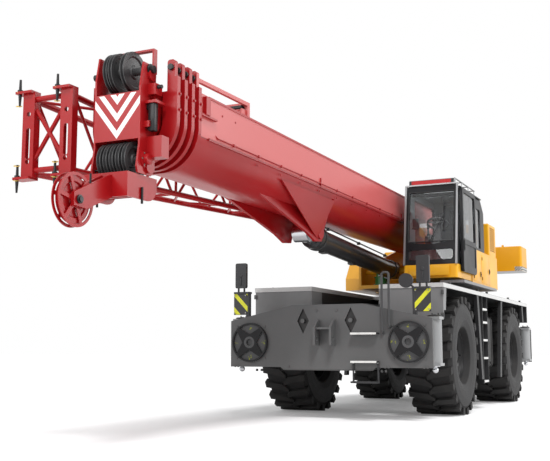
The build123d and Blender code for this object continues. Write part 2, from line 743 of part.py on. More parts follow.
# ================================================================ superstructure
# Turntable: base plate on the slewing ring, two cheek plates with the boom's and lift cylinder's pins.
table_front_y = cyl_foot_y - 300
table_rear_y = slew_y + tail_radius - cw_depth
cheek_low = table_low + 10
cheek_top = foot_z + 190
cyl_boss_radius = 150
foot_boss_radius = 165
boss_proud = 22
cheek_tail_high = cw_high - 60
stiffener = 20
with BuildPart() as turntable:
    with BuildSketch(Plane.XY.offset(table_low)):
        with Locations((0, slew_y)):
            Circle(ring_radius)
        with Locations((0, (table_front_y + slew_y + ring_radius) / 2)):
            Rectangle(2 * cheek_outer_x + 40, slew_y + ring_radius - table_front_y)
    extrude(amount=table_plate)
    for side in (1, -1):
        with BuildSketch(Plane.YZ.offset(side * cheek_x)):
            with BuildLine():
                Polyline(
                    (table_front_y, cheek_low), (table_front_y, cyl_foot_z + 60),
                    (table_front_y + 120, cyl_foot_z + cyl_boss_radius),
                    (cyl_foot_y + 260, cyl_foot_z + cyl_boss_radius), (foot_y - 520, foot_z + 20),
                    (foot_y - 170, cheek_top), (foot_y + 170, cheek_top), (foot_y + 620, cheek_tail_high),
                    (table_rear_y, cheek_tail_high), (table_rear_y, cw_low),
                    (slew_y + ring_radius + 150, cheek_low), close=True,
                )
            make_face()
            with Locations((slew_y - 200, cyl_foot_z + 20), (slew_y + 500, cyl_foot_z + 120)):
                Circle(120, mode=Mode.SUBTRACT)
        extrude(amount=side * cheek_thickness)
        with BuildSketch(Plane.YZ.offset(side * cheek_outer_x)):
            with Locations((cyl_foot_y, cyl_foot_z)):
                Circle(cyl_boss_radius - 25)
            with Locations((foot_y, foot_z)):
                Circle(foot_boss_radius)
        extrude(amount=side * boss_proud)
        # sloping stiffener along the cheek's lower edge
        with BuildSketch(Plane.XZ.offset(-(slew_y - ring_radius + 100))):
            with Locations((side * (cheek_outer_x + 35), table_high + stiffener / 2)):
                Rectangle(70, stiffener)
        extrude(amount=-(2 * ring_radius - 200))
    # cross plates between the cheeks
    for y, high in ((cyl_foot_y + 560, cyl_foot_z - 60), (foot_y - 360, boom_low - 90)):
        with BuildSketch(Plane.XZ.offset(-y)):
            with Locations((0, (table_high + high) / 2)):
                Rectangle(2 * cheek_x, high - table_high)
        extrude(amount=-stiffener)
    with BuildSketch(Plane.XZ.offset(-(table_rear_y - 40))):
        with Locations((0, (cw_low + cheek_tail_high) / 2)):
            Rectangle(2 * cheek_x, cheek_tail_high - cw_low)
    extrude(amount=-40)
    for pin_y, pin_z, radius in ((cyl_foot_y, cyl_foot_z, cyl_pin_radius), (foot_y, foot_z, foot_pin_radius)):
        with BuildSketch(Plane.YZ.offset(-cheek_outer_x - boss_proud)):
            with Locations((pin_y, pin_z)):
                Circle(radius)
        extrude(amount=2 * (cheek_outer_x + boss_proud))
finish(turntable, "turntable")

# Counterweight: one cast slab across the tail, with lifting eyes.
cw_corner = 60
eye_x = 1100
with BuildPart() as counterweight:
    with BuildSketch(Plane.XY.offset(cw_low)):
        with Locations((0, slew_y + tail_radius - cw_depth / 2)):
            Rectangle(cw_width, cw_depth)
    extrude(amount=cw_high - cw_low)
    fillet(counterweight.edges().filter_by(Axis.Z), radius=cw_corner)
    chamfer(counterweight.faces().sort_by(Axis.Z)[-1].edges(), length=18)
    for x in (-eye_x, eye_x):
        with BuildSketch(Plane.YZ.offset(x - 18)):
            with Locations((slew_y + tail_radius - cw_depth / 2, cw_high)):
                SlotOverall(150, 90, rotation=90)
                with Locations((0, 35)):
                    Circle(22, mode=Mode.SUBTRACT)
        extrude(amount=36)
finish(counterweight, "counterweight")

# Winches: two rope drums between the cheeks, each with its flanges and its rope wound on.
flange_radius = 250
second_flange_radius = 225
drum_rope = 55               # how far the wound rope stays inside the flanges
flange_width = 30
winch_half = cheek_x - 30
winches_at = [(600, 2700, flange_radius), (1140, 2840, second_flange_radius)]
with BuildPart() as winches:
    for setback, z, radius in winches_at:
        with BuildSketch(Plane.YZ.offset(-winch_half)):
            with Locations((foot_y + setback, z)):
                Circle(radius - drum_rope)
        extrude(amount=2 * winch_half)
        for x in (-winch_half, winch_half - flange_width):
            with BuildSketch(Plane.YZ.offset(x)):
                with Locations((foot_y + setback, z)):
                    Circle(radius)
            extrude(amount=flange_width)
        # bearing stubs into the cheeks
        with BuildSketch(Plane.YZ.offset(-cheek_x)):
            with Locations((foot_y + setback, z)):
                Circle(90)
        extrude(amount=2 * cheek_x)
finish(winches, "winches")

# ---------------------------------------------------------------- boom
section_names = ("boom_base", "boom_section_2", "boom_section_3", "boom_section_4", "boom_section_5")
boom_front_y = head_y + collar_setback
boom_rear_y = foot_y + base_tail
solid_foot = 250             # closed end of the base section round its foot pin
rear_pitch = 60              # each section's rear end ahead of the one round it
ear_inner_x = 385
ear_outer_x = 470
ear_high = 3840


def boom_outline(front_y, inset):
    """Closed U outline at a station: flat top and upper sides, bottom rounded by two large arcs."""
    half = boom_width / 2 - inset
    low, high = boom_low + inset, boom_high - inset
    radius = boom_round - inset
    middle = radius * (1 - sin(radians(45)))
    with BuildSketch(Plane.XZ.offset(-front_y)) as outline:
        with BuildLine():
            Polyline((-half, low + radius), (-half, high), (half, high), (half, low + radius))
            ThreePointArc((half, low + radius), (half - middle, low + middle), (half - radius, low))
            Line((half - radius, low), (-half + radius, low))
            ThreePointArc((-half + radius, low), (-half + middle, low + middle), (-half, low + radius))
        make_face()
    return outline.sketch


def collar_notch(front_y, inset):
    """Gap between a collar's ears, down to just over its section's top plate."""
    low = boom_high - inset + 12
    with BuildSketch(Plane.XZ.offset(-front_y)) as notch:
        with Locations((0, (low + ear_high) / 2)):
            Rectangle(2 * ear_inner_x, ear_high - low)
    return notch.sketch


def collar_ears(front_y):
    """Upright ears of a section's collar, one each side of the top rope run."""
    middle, width = (ear_inner_x + ear_outer_x) / 2, ear_outer_x - ear_inner_x
    with BuildSketch(Plane.XZ.offset(-front_y)) as ears:
        with Locations((-middle, (boom_high + ear_high) / 2), (middle, (boom_high + ear_high) / 2)):
            RectangleRounded(width, ear_high - boom_high + 60, 28)
    return ears.sketch


seam_z = 3200                # weld seam between the boom's two half shells
seam_proud = 12
lug_half = cyl_radius + 45   # inner face of the bracket's lugs
lug_thickness = 40
saddle_front = 1950          # bracket's front tip ahead of the pin
saddle_rear = 330
saddle_top = boom_low + 230
gusset_thickness = 24
guide_setback = 1250         # rope guide's hoop behind the base collar
guide_high = 3860
with BuildPart() as boom_base:
    extrude(boom_outline(boom_front_y, 0), amount=-(boom_rear_y - boom_front_y))
    extrude(boom_outline(boom_front_y, -collar_proud), amount=-collar_length)
    extrude(collar_ears(boom_front_y), amount=-collar_length)
    extrude(collar_notch(boom_front_y, 0), amount=-collar_length, mode=Mode.SUBTRACT)
    # ledges along the weld seams and along the top edges
    for side in (1, -1):
        with BuildSketch(Plane.XZ.offset(-(boom_front_y + 260))):
            with Locations((side * (boom_width / 2 + seam_proud / 2 - 1), seam_z)):
                Rectangle(seam_proud + 2, 26)
            with Locations((side * (boom_width / 2 + 1), boom_high - 12)):
                Rectangle(14, 24)
        extrude(amount=-(foot_y - 700 - boom_front_y - 260))
        # stiff end of the ledge and side brackets behind the collar
        with BuildSketch(Plane.XZ.offset(-(boom_front_y + 130))):
            with Locations((side * (boom_width / 2 + 20), seam_z + 330)):
                Rectangle(60, 190)
        extrude(amount=-90)
        with BuildSketch(Plane.XZ.offset(-(boom_front_y + 60))):
            with Locations((side * (boom_width / 2 + 14), seam_z + 225)):
                Rectangle(46, 20)
        extrude(amount=-330)
        # small upright ribs on the seam
        for reach in (3300, 6900):
            with BuildSketch(Plane.XZ.offset(-(boom_front_y + reach))):
                with Locations((side * (boom_width / 2 + 7), seam_z + 55)):
                    Rectangle(20, 130)
            extrude(amount=-24)
    # rope guide on the top: a hoop, two long bars to the collar and a roller
    hoop_y = boom_front_y + guide_setback
    for side in (1, -1):
        with BuildSketch(Plane.XZ.offset(-hoop_y)):
            with Locations((side * 400, (boom_high + guide_high) / 2)):
                Rectangle(40, guide_high - boom_high)
        extrude(amount=-60)
        with BuildSketch(Plane.YZ.offset(side * 380)):
            with BuildLine():
                Polyline((boom_front_y + 20, ear_high - 46), (boom_front_y + 20, ear_high - 6),
                         (hoop_y + 60, guide_high), (hoop_y + 60, guide_high - 44), close=True)
            make_face()
        extrude(amount=side * 40)
    with BuildSketch(Plane.YZ.offset(-400)):
        with Locations((hoop_y - 60, boom_high + 70)):
            Circle(38)
        with Locations((hoop_y + 30, guide_high - 25)):
            Rectangle(60, 44)
    extrude(amount=800)
    for side in (1, -1):
        with BuildSketch(Plane.YZ.offset(side * 380)):
            with Locations((hoop_y - 20, boom_high + 50)):
                Rectangle(160, 110)
        extrude(amount=side * 20)
    # rear stop lug on the top
    with BuildSketch(Plane.YZ.offset(300)):
        with BuildLine():
            Polyline((foot_y - 2900, boom_high - 5), (foot_y - 2850, boom_high + 95), (foot_y - 2800, boom_high + 95),
                     (foot_y - 2700, boom_high - 5), close=True)
        make_face()
    extrude(amount=30)
    # bracket for the lift cylinder: two lugs, slanted side gussets and a cross plate
    for side in (1, -1):
        with BuildSketch(Plane.YZ.offset(side * lug_half)):
            with BuildLine():
                Polyline(
                    (cyl_pin_y - saddle_front, boom_low + 60), (cyl_pin_y - 420, cyl_pin_z - 60),
                    (cyl_pin_y - 130, cyl_pin_z - 150), (cyl_pin_y + 90, cyl_pin_z - 130),
                    (cyl_pin_y + 150, cyl_pin_z), (cyl_pin_y + saddle_rear, boom_low + 60), close=True,
                )
            make_face()
        extrude(amount=side * lug_thickness)
        with BuildSketch(Plane.YZ.offset(side * (lug_half + lug_thickness))):
            with Locations((cyl_pin_y, cyl_pin_z)):
                Circle(105)
        extrude(amount=side * 30)
        # slanted gusset from the lug's foot out to the boom's side
        foot_front = Vector(side * (lug_half + lug_thickness - 12), cyl_pin_y - 60, cyl_pin_z - 110)
        side_front = Vector(side * (boom_width / 2 - 6), cyl_pin_y - saddle_front + 250, saddle_top)
        side_rear = Vector(side * (boom_width / 2 - 6), cyl_pin_y + 40, saddle_top)
        gusset_plane = Plane(origin=foot_front, x_dir=side_rear - side_front,
                             z_dir=(side_rear - side_front).cross(foot_front - side_front))
        corners_local = [gusset_plane.to_local_coords(point) for point in (foot_front, side_front, side_rear)]
        with BuildSketch(gusset_plane):
            with BuildLine():
                Polyline(*[(point.X, point.Y) for point in corners_local], close=True)
            make_face()
        extrude(amount=gusset_thickness / 2, both=True)
        # cross gusset behind it
        with BuildSketch(Plane.XZ.offset(-(cyl_pin_y + 40))):
            with BuildLine():
                Polyline(
                    (side * (lug_half + 10), cyl_pin_z - 60), (side * (boom_width / 2 - 4), saddle_top + 20),
                    (side * (boom_width / 2 - 60), saddle_top + 20), (side * (lug_half + 10), boom_low + 40),
                    close=True,
                )
            make_face()
        extrude(amount=-gusset_thickness)
    # hollow inside, and the foot pin's bore
    extrude(boom_outline(boom_front_y, section_wall), amount=-(boom_rear_y - solid_foot - boom_front_y),
            mode=Mode.SUBTRACT)
    with BuildSketch(Plane.YZ.offset(-boom_width / 2 - 20)):
        with Locations((foot_y, foot_z)):
            Circle(foot_pin_radius + 4)
    extrude(amount=boom_width + 40, mode=Mode.SUBTRACT)
finish(boom_base, "boom_base")

# Inner sections: each a U tube with its collar; the last one carries the boom head.
head_half = 270              # outer faces of the head's side plates
head_plate = 20
head_low = 2690
head_top = 3610
head_tall = 3710             # the right side plate stands higher
head_depth = 265
chevron = (3030, 3500)       # front plate's lower and upper edges
head_pins = [(150, 2765), (170, 3690)]      # behind the head's face, height
# bracket: behind the head's face, height, length, height of the block, how far it stands proud
left_brackets = [(180, 3540, 120, 110, 90), (160, 3400, 180, 26, 130), (150, 3180, 170, 60, 60),
                 (185, 2960, 130, 210, 170)]
for number in range(1, 5):
    inset = number * section_step
    last = number == 4
    collar_y = head_y + end_setback if last else boom_front_y - number * collar_pitch
    rear_y = boom_rear_y - solid_foot - number * rear_pitch
    with BuildPart() as section:
        extrude(boom_outline(collar_y, inset), amount=-(rear_y - collar_y))
        if number < 4:
            extrude(boom_outline(collar_y, -collar_proud), amount=-collar_length)
            extrude(collar_ears(collar_y), amount=-collar_length)
            extrude(collar_notch(collar_y, inset), amount=-collar_length, mode=Mode.SUBTRACT)
        extrude(boom_outline(collar_y, inset + section_wall), amount=-(rear_y - collar_y), mode=Mode.SUBTRACT)
        if last:
            # head: two side plates, a front plate with the rope window under it, and cross plates
            for side in (1, -1):
                top = head_top if side == 1 else head_tall
                with BuildSketch(Plane.YZ.offset(side * (head_half - head_plate))):
                    with BuildLine():
                        Polyline(
                            (head_y, chevron[0] - 60), (head_y, top - 60), (head_y + 50, top + 190),
                            (head_y + head_depth - 30, top + 190), (head_y + head_depth, top + 120),
                            (head_y + head_depth, head_low + 60), (head_y + head_depth - 60, head_low),
                            (head_y - 20, head_low), (head_y - 40, head_low + 60), close=True,
                        )
                    make_face()
                extrude(amount=side * head_plate)
            with BuildSketch(Plane.XZ.offset(-head_y)):
                with Locations((0, (chevron[0] + chevron[1]) / 2)):
                    Rectangle(2 * (head_half - head_plate), chevron[1] - chevron[0])
            extrude(amount=-head_plate)
            for z in (chevron[0], chevron[1] - head_plate):
                with BuildSketch(Plane.XY.offset(z)):
                    with Locations((0, (head_y + collar_y) / 2)):
                        Rectangle(2 * (head_half - head_plate), collar_y - head_y)
                extrude(amount=head_plate)
            # end frame that joins the side plates to the tube's walls
            extrude(boom_outline(collar_y, inset), amount=-head_plate)
            with BuildSketch(Plane.XZ.offset(-(collar_y - 1))):
                with Locations((0, (chevron[0] + chevron[1]) / 2)):
                    Rectangle(2 * (head_half - head_plate) - 60, chevron[1] - chevron[0] - 100)
            extrude(amount=-head_plate - 2, mode=Mode.SUBTRACT)
            # eyes of the head's pins, proud of both side plates
            for side in (1, -1):
                with BuildSketch(Plane.YZ.offset(side * head_half)):
                    for pin_setback_y, pin_z in head_pins:
                        with Locations((head_y + pin_setback_y, pin_z)):
                            Circle(58)
                extrude(amount=side * 26)
            # brackets on the left side plate: blocks, a slanted box and a pin lug
            for y, z, wide, high, proud in left_brackets:
                with BuildSketch(Plane.YZ.offset(head_half)):
                    with Locations((head_y + y, z)):
                        Rectangle(wide, high)
                extrude(amount=proud)
            # guard bar over the upper sheaves
            with BuildLine():
                Polyline((-head_half + 10, head_y + 250, head_tall + 120), (-head_half + 10, head_y + 250, 3975),
                         (head_half - 10, head_y + 250, 3975), (head_half - 10, head_y + 250, head_top + 120))
            with BuildSketch(Plane.XY.offset(head_tall + 120)):
                with Locations((-head_half + 10, head_y + 250)):
                    Rectangle(20, 60)
            sweep(transition=Transition.RIGHT)
    finish(section, section_names[number])

# Head sheaves: a pair above the front plate and a bank of five in the window below it.
upper_sheave = (160, 3745, 205)      # behind the head's face, height, radius
lower_sheave = (95, 2835, 185)
sheave_width = 46
groove = 22


def sheave(radius, hub):
    """One rope sheave on the X axis: rim with a groove, thin web and hub."""
    half = sheave_width / 2
    with BuildPart(mode=Mode.PRIVATE) as disc:
        with BuildSketch(Plane.XY):
            with BuildLine():
                Polyline(
                    (-half, hub), (-half, 0), (half, 0), (half, hub), (10, hub + 12), (10, radius - 60),
                    (half, radius - 45), (half, radius), (half - 8, radius), (6, radius - groove),
                    (-6, radius - groove), (-half + 8, radius), (-half, radius), (-half, radius - 45),
                    (-10, radius - 60), (-10, hub + 12), close=True,
                )
            make_face()
        revolve(axis=Axis.X)
    return disc.part


with BuildPart() as head_sheaves:
    for setback, z, radius, places in (
        (*upper_sheave, (-130, -70, 70)),
        (*lower_sheave, (-144, -72, 0, 72, 144)),
    ):
        disc = sheave(radius, 60)
        for x in places:
            add(disc.moved(Location((x, head_y + setback, z))))
        with BuildSketch(Plane.YZ.offset(-head_half + head_plate)):
            with Locations((head_y + setback, z)):
                Circle(38)
        extrude(amount=2 * (head_half - head_plate))
finish(head_sheaves, "head_sheaves")

# Nose sheave: one sheave on a short arm ahead of the head, between two spoked guard discs.
nose_y = head_y - nose_reach + 250
nose_z = 2350
nose_radius = 250
nose_sheave_radius = 215
guard_thickness = 10
guard_x = (30, 46)           # a guard disc's inner and outer faces
box_half = 250
box_low = 2445
box_front_y = head_y - 160
box_rear_y = head_y + 340
with BuildPart() as nose_sheave:
    add(sheave(nose_sheave_radius, 55).moved(Location((0, nose_y, nose_z))))
    for side in (1, -1):
        with BuildSketch(Plane.YZ.offset(side * guard_x[0])):
            with Locations((nose_y, nose_z)):
                Circle(nose_radius)
                Circle(nose_radius - 28, mode=Mode.SUBTRACT)
                Circle(75)
                for turn in range(0, 360, 60):
                    with Locations(Location((0, 0, 0), (0, 0, turn + 20))):
                        with Locations((0, (nose_radius + 40) / 2)):
                            Rectangle(38, nose_radius - 60)
        extrude(amount=side * guard_thickness)
        # arm cheek from the axle back to the box
        with BuildSketch(Plane.YZ.offset(side * (guard_x[0] + guard_thickness))):
            with BuildLine():
                Polyline(
                    (nose_y - 70, nose_z - 60), (nose_y - 70, nose_z + 60), (nose_y + 60, nose_z + 120),
                    (box_front_y + 20, head_low - 20), (box_front_y + 20, box_low), (nose_y + 120, nose_z - 70),
                    close=True,
                )
            make_face()
        extrude(amount=side * 30)
    with BuildSketch(Plane.YZ.offset(-guard_x[1] - 24)):
        with Locations((nose_y, nose_z)):
            Circle(48)
    extrude(amount=2 * (guard_x[1] + 24))
    # hollow box under the head, rounded at its lower rear corner, with hanging plates
    with BuildSketch(Plane.YZ.offset(-box_half)):
        with BuildLine():
            Polyline((box_rear_y, box_low + 150), (box_rear_y, head_low - 8), (box_front_y, head_low - 8),
                     (box_front_y, box_low), (box_rear_y - 150, box_low))
            RadiusArc((box_rear_y - 150, box_low), (box_rear_y, box_low + 150), -150)
        make_face()
    extrude(amount=2 * box_half)
    with BuildSketch(Plane.YZ.offset(-box_half + 22)):
        with BuildLine():
            Polyline((box_rear_y - 22, box_low + 150), (box_rear_y - 22, head_low + 40),
                     (box_front_y + 22, head_low + 40), (box_front_y + 22, box_low - 20),
                     (box_rear_y - 22, box_low - 20), close=True)
        make_face()
    extrude(amount=2 * box_half - 44, mode=Mode.SUBTRACT)
    with BuildSketch(Plane.XZ.offset(-(box_front_y + 130))):
        with Locations((0, box_low + 60)):
            Rectangle(2 * box_half - 44, 90)
    extrude(amount=-30)
finish(nose_sheave, "nose_sheave")

# Jib: a tapering lattice stowed along the boom's right side; its base frame stands beside the head.
jib_front_y = head_y + 40
jib_rear_y = front_axle_y - 1100
chord_radius = 34
lacing_radius = 17
jib_bays = 9
column_width = 150
column_depth = 90
lug_plate = 26               # thickness of the base frame's corner lugs
pin_setback = 112            # connecting pin beside its column
pin_ahead = 10
pin_radius = 18
# chord: X and Z at the base frame, X and Z at the tip
chords = [(-1135, 3600, -935, 3330), (-1135, 2820, -935, 3040), (-650, 3600, -664, 3330),
          (-650, 2820, -664, 3040)]


def strut(start, end, radius):
    """A round tube between two points."""
    with BuildPart(mode=Mode.PRIVATE) as tube:
        with BuildSketch(Plane(origin=start, z_dir=end - start)):
            RegularPolygon(radius, 8) if radius < 30 else Circle(radius)
        extrude(amount=(end - start).length)
    return tube.part


def chord_point(chord, share):
    """Point on a chord's axis, from 0 at the base frame to 1 at the tip."""
    x0, z0, x1, z1 = chord
    return Vector(x0 + (x1 - x0) * share, jib_front_y + 30 + (jib_rear_y - jib_front_y - 60) * share,
                  z0 + (z1 - z0) * share)


with BuildPart() as jib:
    for chord in chords:
        add(strut(chord_point(chord, 0), chord_point(chord, 1), chord_radius))
    # zig-zag lacing on the four faces, and a square frame every third bay
    for first, second in ((0, 1), (2, 3), (0, 2), (1, 3)):
        for bay in range(jib_bays):
            a, b = (first, second) if bay % 2 == 0 else (second, first)
            start = chord_point(chords[a], (bay + 0.14) / jib_bays)
            end = chord_point(chords[b], (bay + 0.93) / jib_bays)
            add(strut(start, end, lacing_radius))
    for share in (0.34, 0.67, 0.985):
        for first, second in ((0, 1), (2, 3), (0, 2), (1, 3)):
            add(strut(chord_point(chords[first], share), chord_point(chords[second], share), lacing_radius))
    # base frame: two slotted channel columns, cross tubes, a brace and corner lugs
    for x in (chords[0][0], chords[2][0]):
        with BuildSketch(Plane.XZ.offset(-jib_front_y)):
            with Locations((x, (chords[0][1] + chords[1][1]) / 2)):
                Rectangle(column_width, chords[0][1] - chords[1][1] + 110)
            with Locations((x, chords[1][1] + 300)):
                SlotOverall(330, 55, rotation=90, mode=Mode.SUBTRACT)
            with Locations((x, chords[1][1] + 110), (x, chords[0][1] - 170)):
                Circle(26, mode=Mode.SUBTRACT)
        extrude(amount=-column_depth)
        with BuildSketch(Plane.XZ.offset(-(jib_front_y + 14))):
            with Locations((x, (chords[0][1] + chords[1][1]) / 2)):
                Rectangle(column_width - 28, chords[0][1] - chords[1][1] - 60)
        extrude(amount=-column_depth, mode=Mode.SUBTRACT)
        for z in (chords[0][1] + 62, chords[1][1] - 62):
            with BuildSketch(Plane.XY.offset(z - lug_plate / 2)):
                with Locations((x - 45, jib_front_y + 35)):
                    Rectangle(210, 150)
                with Locations((x - pin_setback, jib_front_y - pin_ahead)):
                    Circle(pin_radius + 2, mode=Mode.SUBTRACT)
            extrude(amount=lug_plate)
    frame_wide = chords[2][0] - chords[0][0]
    for z in (chords[0][1] - 10, chords[1][1] + 20):
        with BuildSketch(Plane.YZ.offset(chords[0][0])):
            with Locations((jib_front_y + 45, z)):
                Circle(30)
        extrude(amount=frame_wide)
    add(strut(Vector(chords[0][0] + 20, jib_front_y + 50, chords[0][1] - 60),
              Vector(chords[3][0] - 20, jib_front_y + 50, chords[3][1] + 80), lacing_radius + 6))
    add(strut(Vector(chords[2][0] - 20, jib_front_y + 50, chords[2][1] - 60),
              Vector(chords[1][0] + 20, jib_front_y + 50, chords[1][1] + 80), lacing_radius + 6))
finish(jib, "jib")

# Brackets that hold the stowed jib on the boom's right side.
bracket_setbacks = (900, 3600)
bracket_low = boom_low + boom_round + 15
bracket_high = 140
with BuildPart() as jib_brackets:
    for setback in bracket_setbacks:
        y = boom_front_y + setback
        jib_point = chord_point(chords[2], (y - jib_front_y) / (jib_rear_y - jib_front_y))
        top = jib_point.Z + chord_radius
        plate_from = max(seam_z + 15, min(bracket_low, top + 10))
        plate_to = max(bracket_low + bracket_high, top + 60)
        with BuildSketch(Plane.XY.offset(plate_from)):
            with Locations((-boom_width / 2 - 15, y)):
                Rectangle(30, 320)
        extrude(amount=plate_to - plate_from)
        # arm over the upper chord, with a hook down its far side
        outer = jib_point.X - chord_radius - 48
        with BuildSketch(Plane.XZ.offset(-(y - 20))):
            with BuildLine():
                Polyline(
                    (-boom_width / 2 - 20, top + 60), (-boom_width / 2 - 20, top + 10), (outer + 32, top + 10),
                    (outer + 32, top - 70), (outer, top - 70), (outer, top + 60), close=True,
                )
            make_face()
        extrude(amount=-40)
finish(jib_brackets, "jib_brackets")

# Tapered connecting pins kept upright in the base frame's corner lugs.
pin_length = 290
with BuildPart() as pin_form:
    with BuildSketch(Plane.XZ):
        with BuildLine():
            Polyline(
                (0, -pin_length / 2), (10, -pin_length / 2), (pin_radius, -30), (pin_radius, lug_plate / 2),
                (pin_radius + 10, lug_plate / 2), (pin_radius + 10, lug_plate / 2 + 20),
                (pin_radius - 2, lug_plate / 2 + 20), (12, pin_length / 2), (0, pin_length / 2), close=True,
            )
        make_face()
    revolve(axis=Axis.Z)
with BuildPart() as jib_pins:
    for x in (chords[0][0] - pin_setback, chords[2][0] - pin_setback):
        for z in (chords[0][1] + 62, chords[1][1] - 62):
            add(pin_form.part.moved(Location((x, jib_front_y - pin_ahead, z))))
finish(jib_pins, "jib_pins")

# ---------------------------------------------------------------- lift cylinder
# Barrel and rod on one axis, drawn along the line from the foot pin to the boom's pin.
cyl_length = hypot(cyl_pin_y - cyl_foot_y, cyl_pin_z - cyl_foot_z)
cyl_axis = Vector(0, cyl_pin_y - cyl_foot_y, cyl_pin_z - cyl_foot_z).normalized()
cyl_plane = Plane(origin=(0, cyl_foot_y, cyl_foot_z), x_dir=(1, 0, 0), z_dir=cyl_axis)
eye_half = 110
eye_gap = 2
barrel_start = 110
rod_bare = 330               # pin's centre to the barrel's mouth, cylinder closed
gland_length = 130
gland_proud = 16
rod_tail = 400               # foot pin's centre to the rod's inner end
port_block = (90, 140, 70)
with BuildPart() as lift_barrel:
    mouth = cyl_length - rod_bare
    with BuildSketch(cyl_plane.offset(barrel_start)):
        Circle(cyl_radius - gland_proud)
    extrude(amount=mouth - barrel_start)
    for start in (barrel_start, mouth - gland_length):
        with BuildSketch(cyl_plane.offset(start)):
            Circle(cyl_radius)
        extrude(amount=gland_length)
    with BuildSketch(Plane.YZ.offset(-eye_half)):
        with Locations((cyl_foot_y, cyl_foot_z)):
            Circle(cyl_boss_radius)
    extrude(amount=2 * eye_half)
    # oil ports and their pipe clamps on top
    for share in (0.12, 0.55, 0.9):
        with BuildSketch(cyl_plane.offset(barrel_start + share * (mouth - barrel_start - 160))):
            with Locations((0, -cyl_radius + gland_proud + 8)):
                Rectangle(port_block[0], port_block[2])
        extrude(amount=port_block[1])
    with BuildSketch(Plane.YZ.offset(-eye_half - 1)):
        with Locations((cyl_foot_y, cyl_foot_z)):
            Circle(cyl_pin_radius + eye_gap)
    extrude(amount=2 * eye_half + 2, mode=Mode.SUBTRACT)
    with BuildSketch(cyl_plane.offset(rod_tail - 60)):
        Circle(rod_radius + eye_gap)
    extrude(amount=cyl_length, mode=Mode.SUBTRACT)
finish(lift_barrel, "lift_barrel")

with BuildPart() as lift_rod:
    with BuildSketch(cyl_plane.offset(rod_tail)):
        Circle(rod_radius)
    extrude(amount=cyl_length - rod_tail - 100)
    with BuildSketch(Plane.YZ.offset(-eye_half)):
        with Locations((cyl_pin_y, cyl_pin_z)):
            Circle(135)
    extrude(amount=2 * eye_half)
    with BuildSketch(Plane.YZ.offset(-eye_half - 1)):
        with Locations((cyl_pin_y, cyl_pin_z)):
            Circle(cyl_pin_radius)
    extrude(amount=2 * eye_half + 2, mode=Mode.SUBTRACT)
finish(lift_rod, "lift_rod")

# ---------------------------------------------------------------- cab
# Cab shell: sheet-metal box leaning back at the front, its windows and door opening cut.
shell_low = cab_floor - 30
front_lean = 200             # roof's front edge behind the foot of the front
roof_slope = (300, 260)      # rear corner of the roof cut off: length, drop
door_opening = (160, 1010, 2330, 3630)      # behind the cab's front, from and to; bottom and top
screen_low = 2790
screen_high = 3625
screen_dip = 45              # how far the windscreen's lower edge sags in its middle
pillar = 75
# window: plane it is cut in, middle and size in that plane
window_table = [
    ("foot", "front", cab_mid_x, 2565, cab_wide - 2 * pillar, 170),
    ("rear", "rear", cab_mid_x, 3130, cab_wide - 240, 480),
    ("side", "outer", cab_front_y + 1390, 3150, 560, 700),
    ("inside", "inner", cab_front_y + 1100, 3190, 1300, 760),
    ("roof", "roof", cab_mid_x, cab_front_y + 700, cab_wide - 260, 620),
]
cut_planes = {
    "front": (Plane.XZ.offset(-(cab_front_y - 150)), -420),
    "rear": (Plane.XZ.offset(-(cab_rear_y - 90)), -180),
    "outer": (Plane.YZ.offset(cab_outer_x - cab_wall - 20), cab_wall + 60),
    "inner": (Plane.YZ.offset(cab_inner_x + cab_wall + 20), -cab_wall - 60),
    "roof": (Plane.XY.offset(cab_roof - 90), 180),
}


def cab_profile(inset):
    """Side view of the cab, moved inward by inset."""
    low = cab_floor if inset >= cab_wall else shell_low + inset
    with BuildSketch(Plane.YZ.offset(cab_inner_x + inset)) as profile:
        with BuildLine():
            Polyline(
                (cab_front_y - 60 + inset, low), (cab_front_y - 60 + front_lean + inset, cab_roof - inset),
                (cab_rear_y - roof_slope[0] - inset / 2, cab_roof - inset),
                (cab_rear_y - inset, cab_roof - roof_slope[1] - inset / 2), (cab_rear_y - inset, low), close=True,
            )
        make_face()
    return profile.sketch


def screen_outline(gap):
    """Windscreen opening seen from the front, its lower edge an arc."""
    half = cab_wide / 2 - pillar - gap
    with BuildSketch(cut_planes["front"][0]) as outline:
        with BuildLine():
            Polyline((cab_mid_x - half, screen_low + gap), (cab_mid_x - half, screen_high - gap),
                     (cab_mid_x + half, screen_high - gap), (cab_mid_x + half, screen_low + gap))
            ThreePointArc((cab_mid_x + half, screen_low + gap), (cab_mid_x, screen_low - screen_dip + gap),
                          (cab_mid_x - half, screen_low + gap))
        make_face()
    return outline.sketch


def window_outline(window, gap):
    """One rounded window from the table, smaller all round by gap."""
    name, face, u, v, wide, high = window
    with BuildSketch(cut_planes[face][0]) as outline:
        with Locations((u, v)):
            RectangleRounded(wide - 2 * gap, high - 2 * gap, 50)
    return outline.sketch


with BuildPart() as cab_shell:
    extrude(cab_profile(0), amount=cab_wide)
    fillet(cab_shell.edges().filter_by(Axis.Y).group_by(Axis.Z)[-1], radius=70)
    extrude(cab_profile(cab_wall), amount=cab_wide - 2 * cab_wall, mode=Mode.SUBTRACT)
    extrude(screen_outline(0), amount=cut_planes["front"][1], mode=Mode.SUBTRACT)
    for window in window_table:
        extrude(window_outline(window, 0), amount=cut_planes[window[1]][1], mode=Mode.SUBTRACT)
    with BuildSketch(cut_planes["outer"][0]):
        with Locations((cab_front_y + (door_opening[0] + door_opening[1]) / 2,
                        (max(door_opening[2], cab_floor) + door_opening[3]) / 2)):
            RectangleRounded(door_opening[1] - door_opening[0], door_opening[3] - max(door_opening[2], cab_floor),
                             60)
    extrude(amount=cut_planes["outer"][1], mode=Mode.SUBTRACT)
finish(cab_shell, "cab_shell")

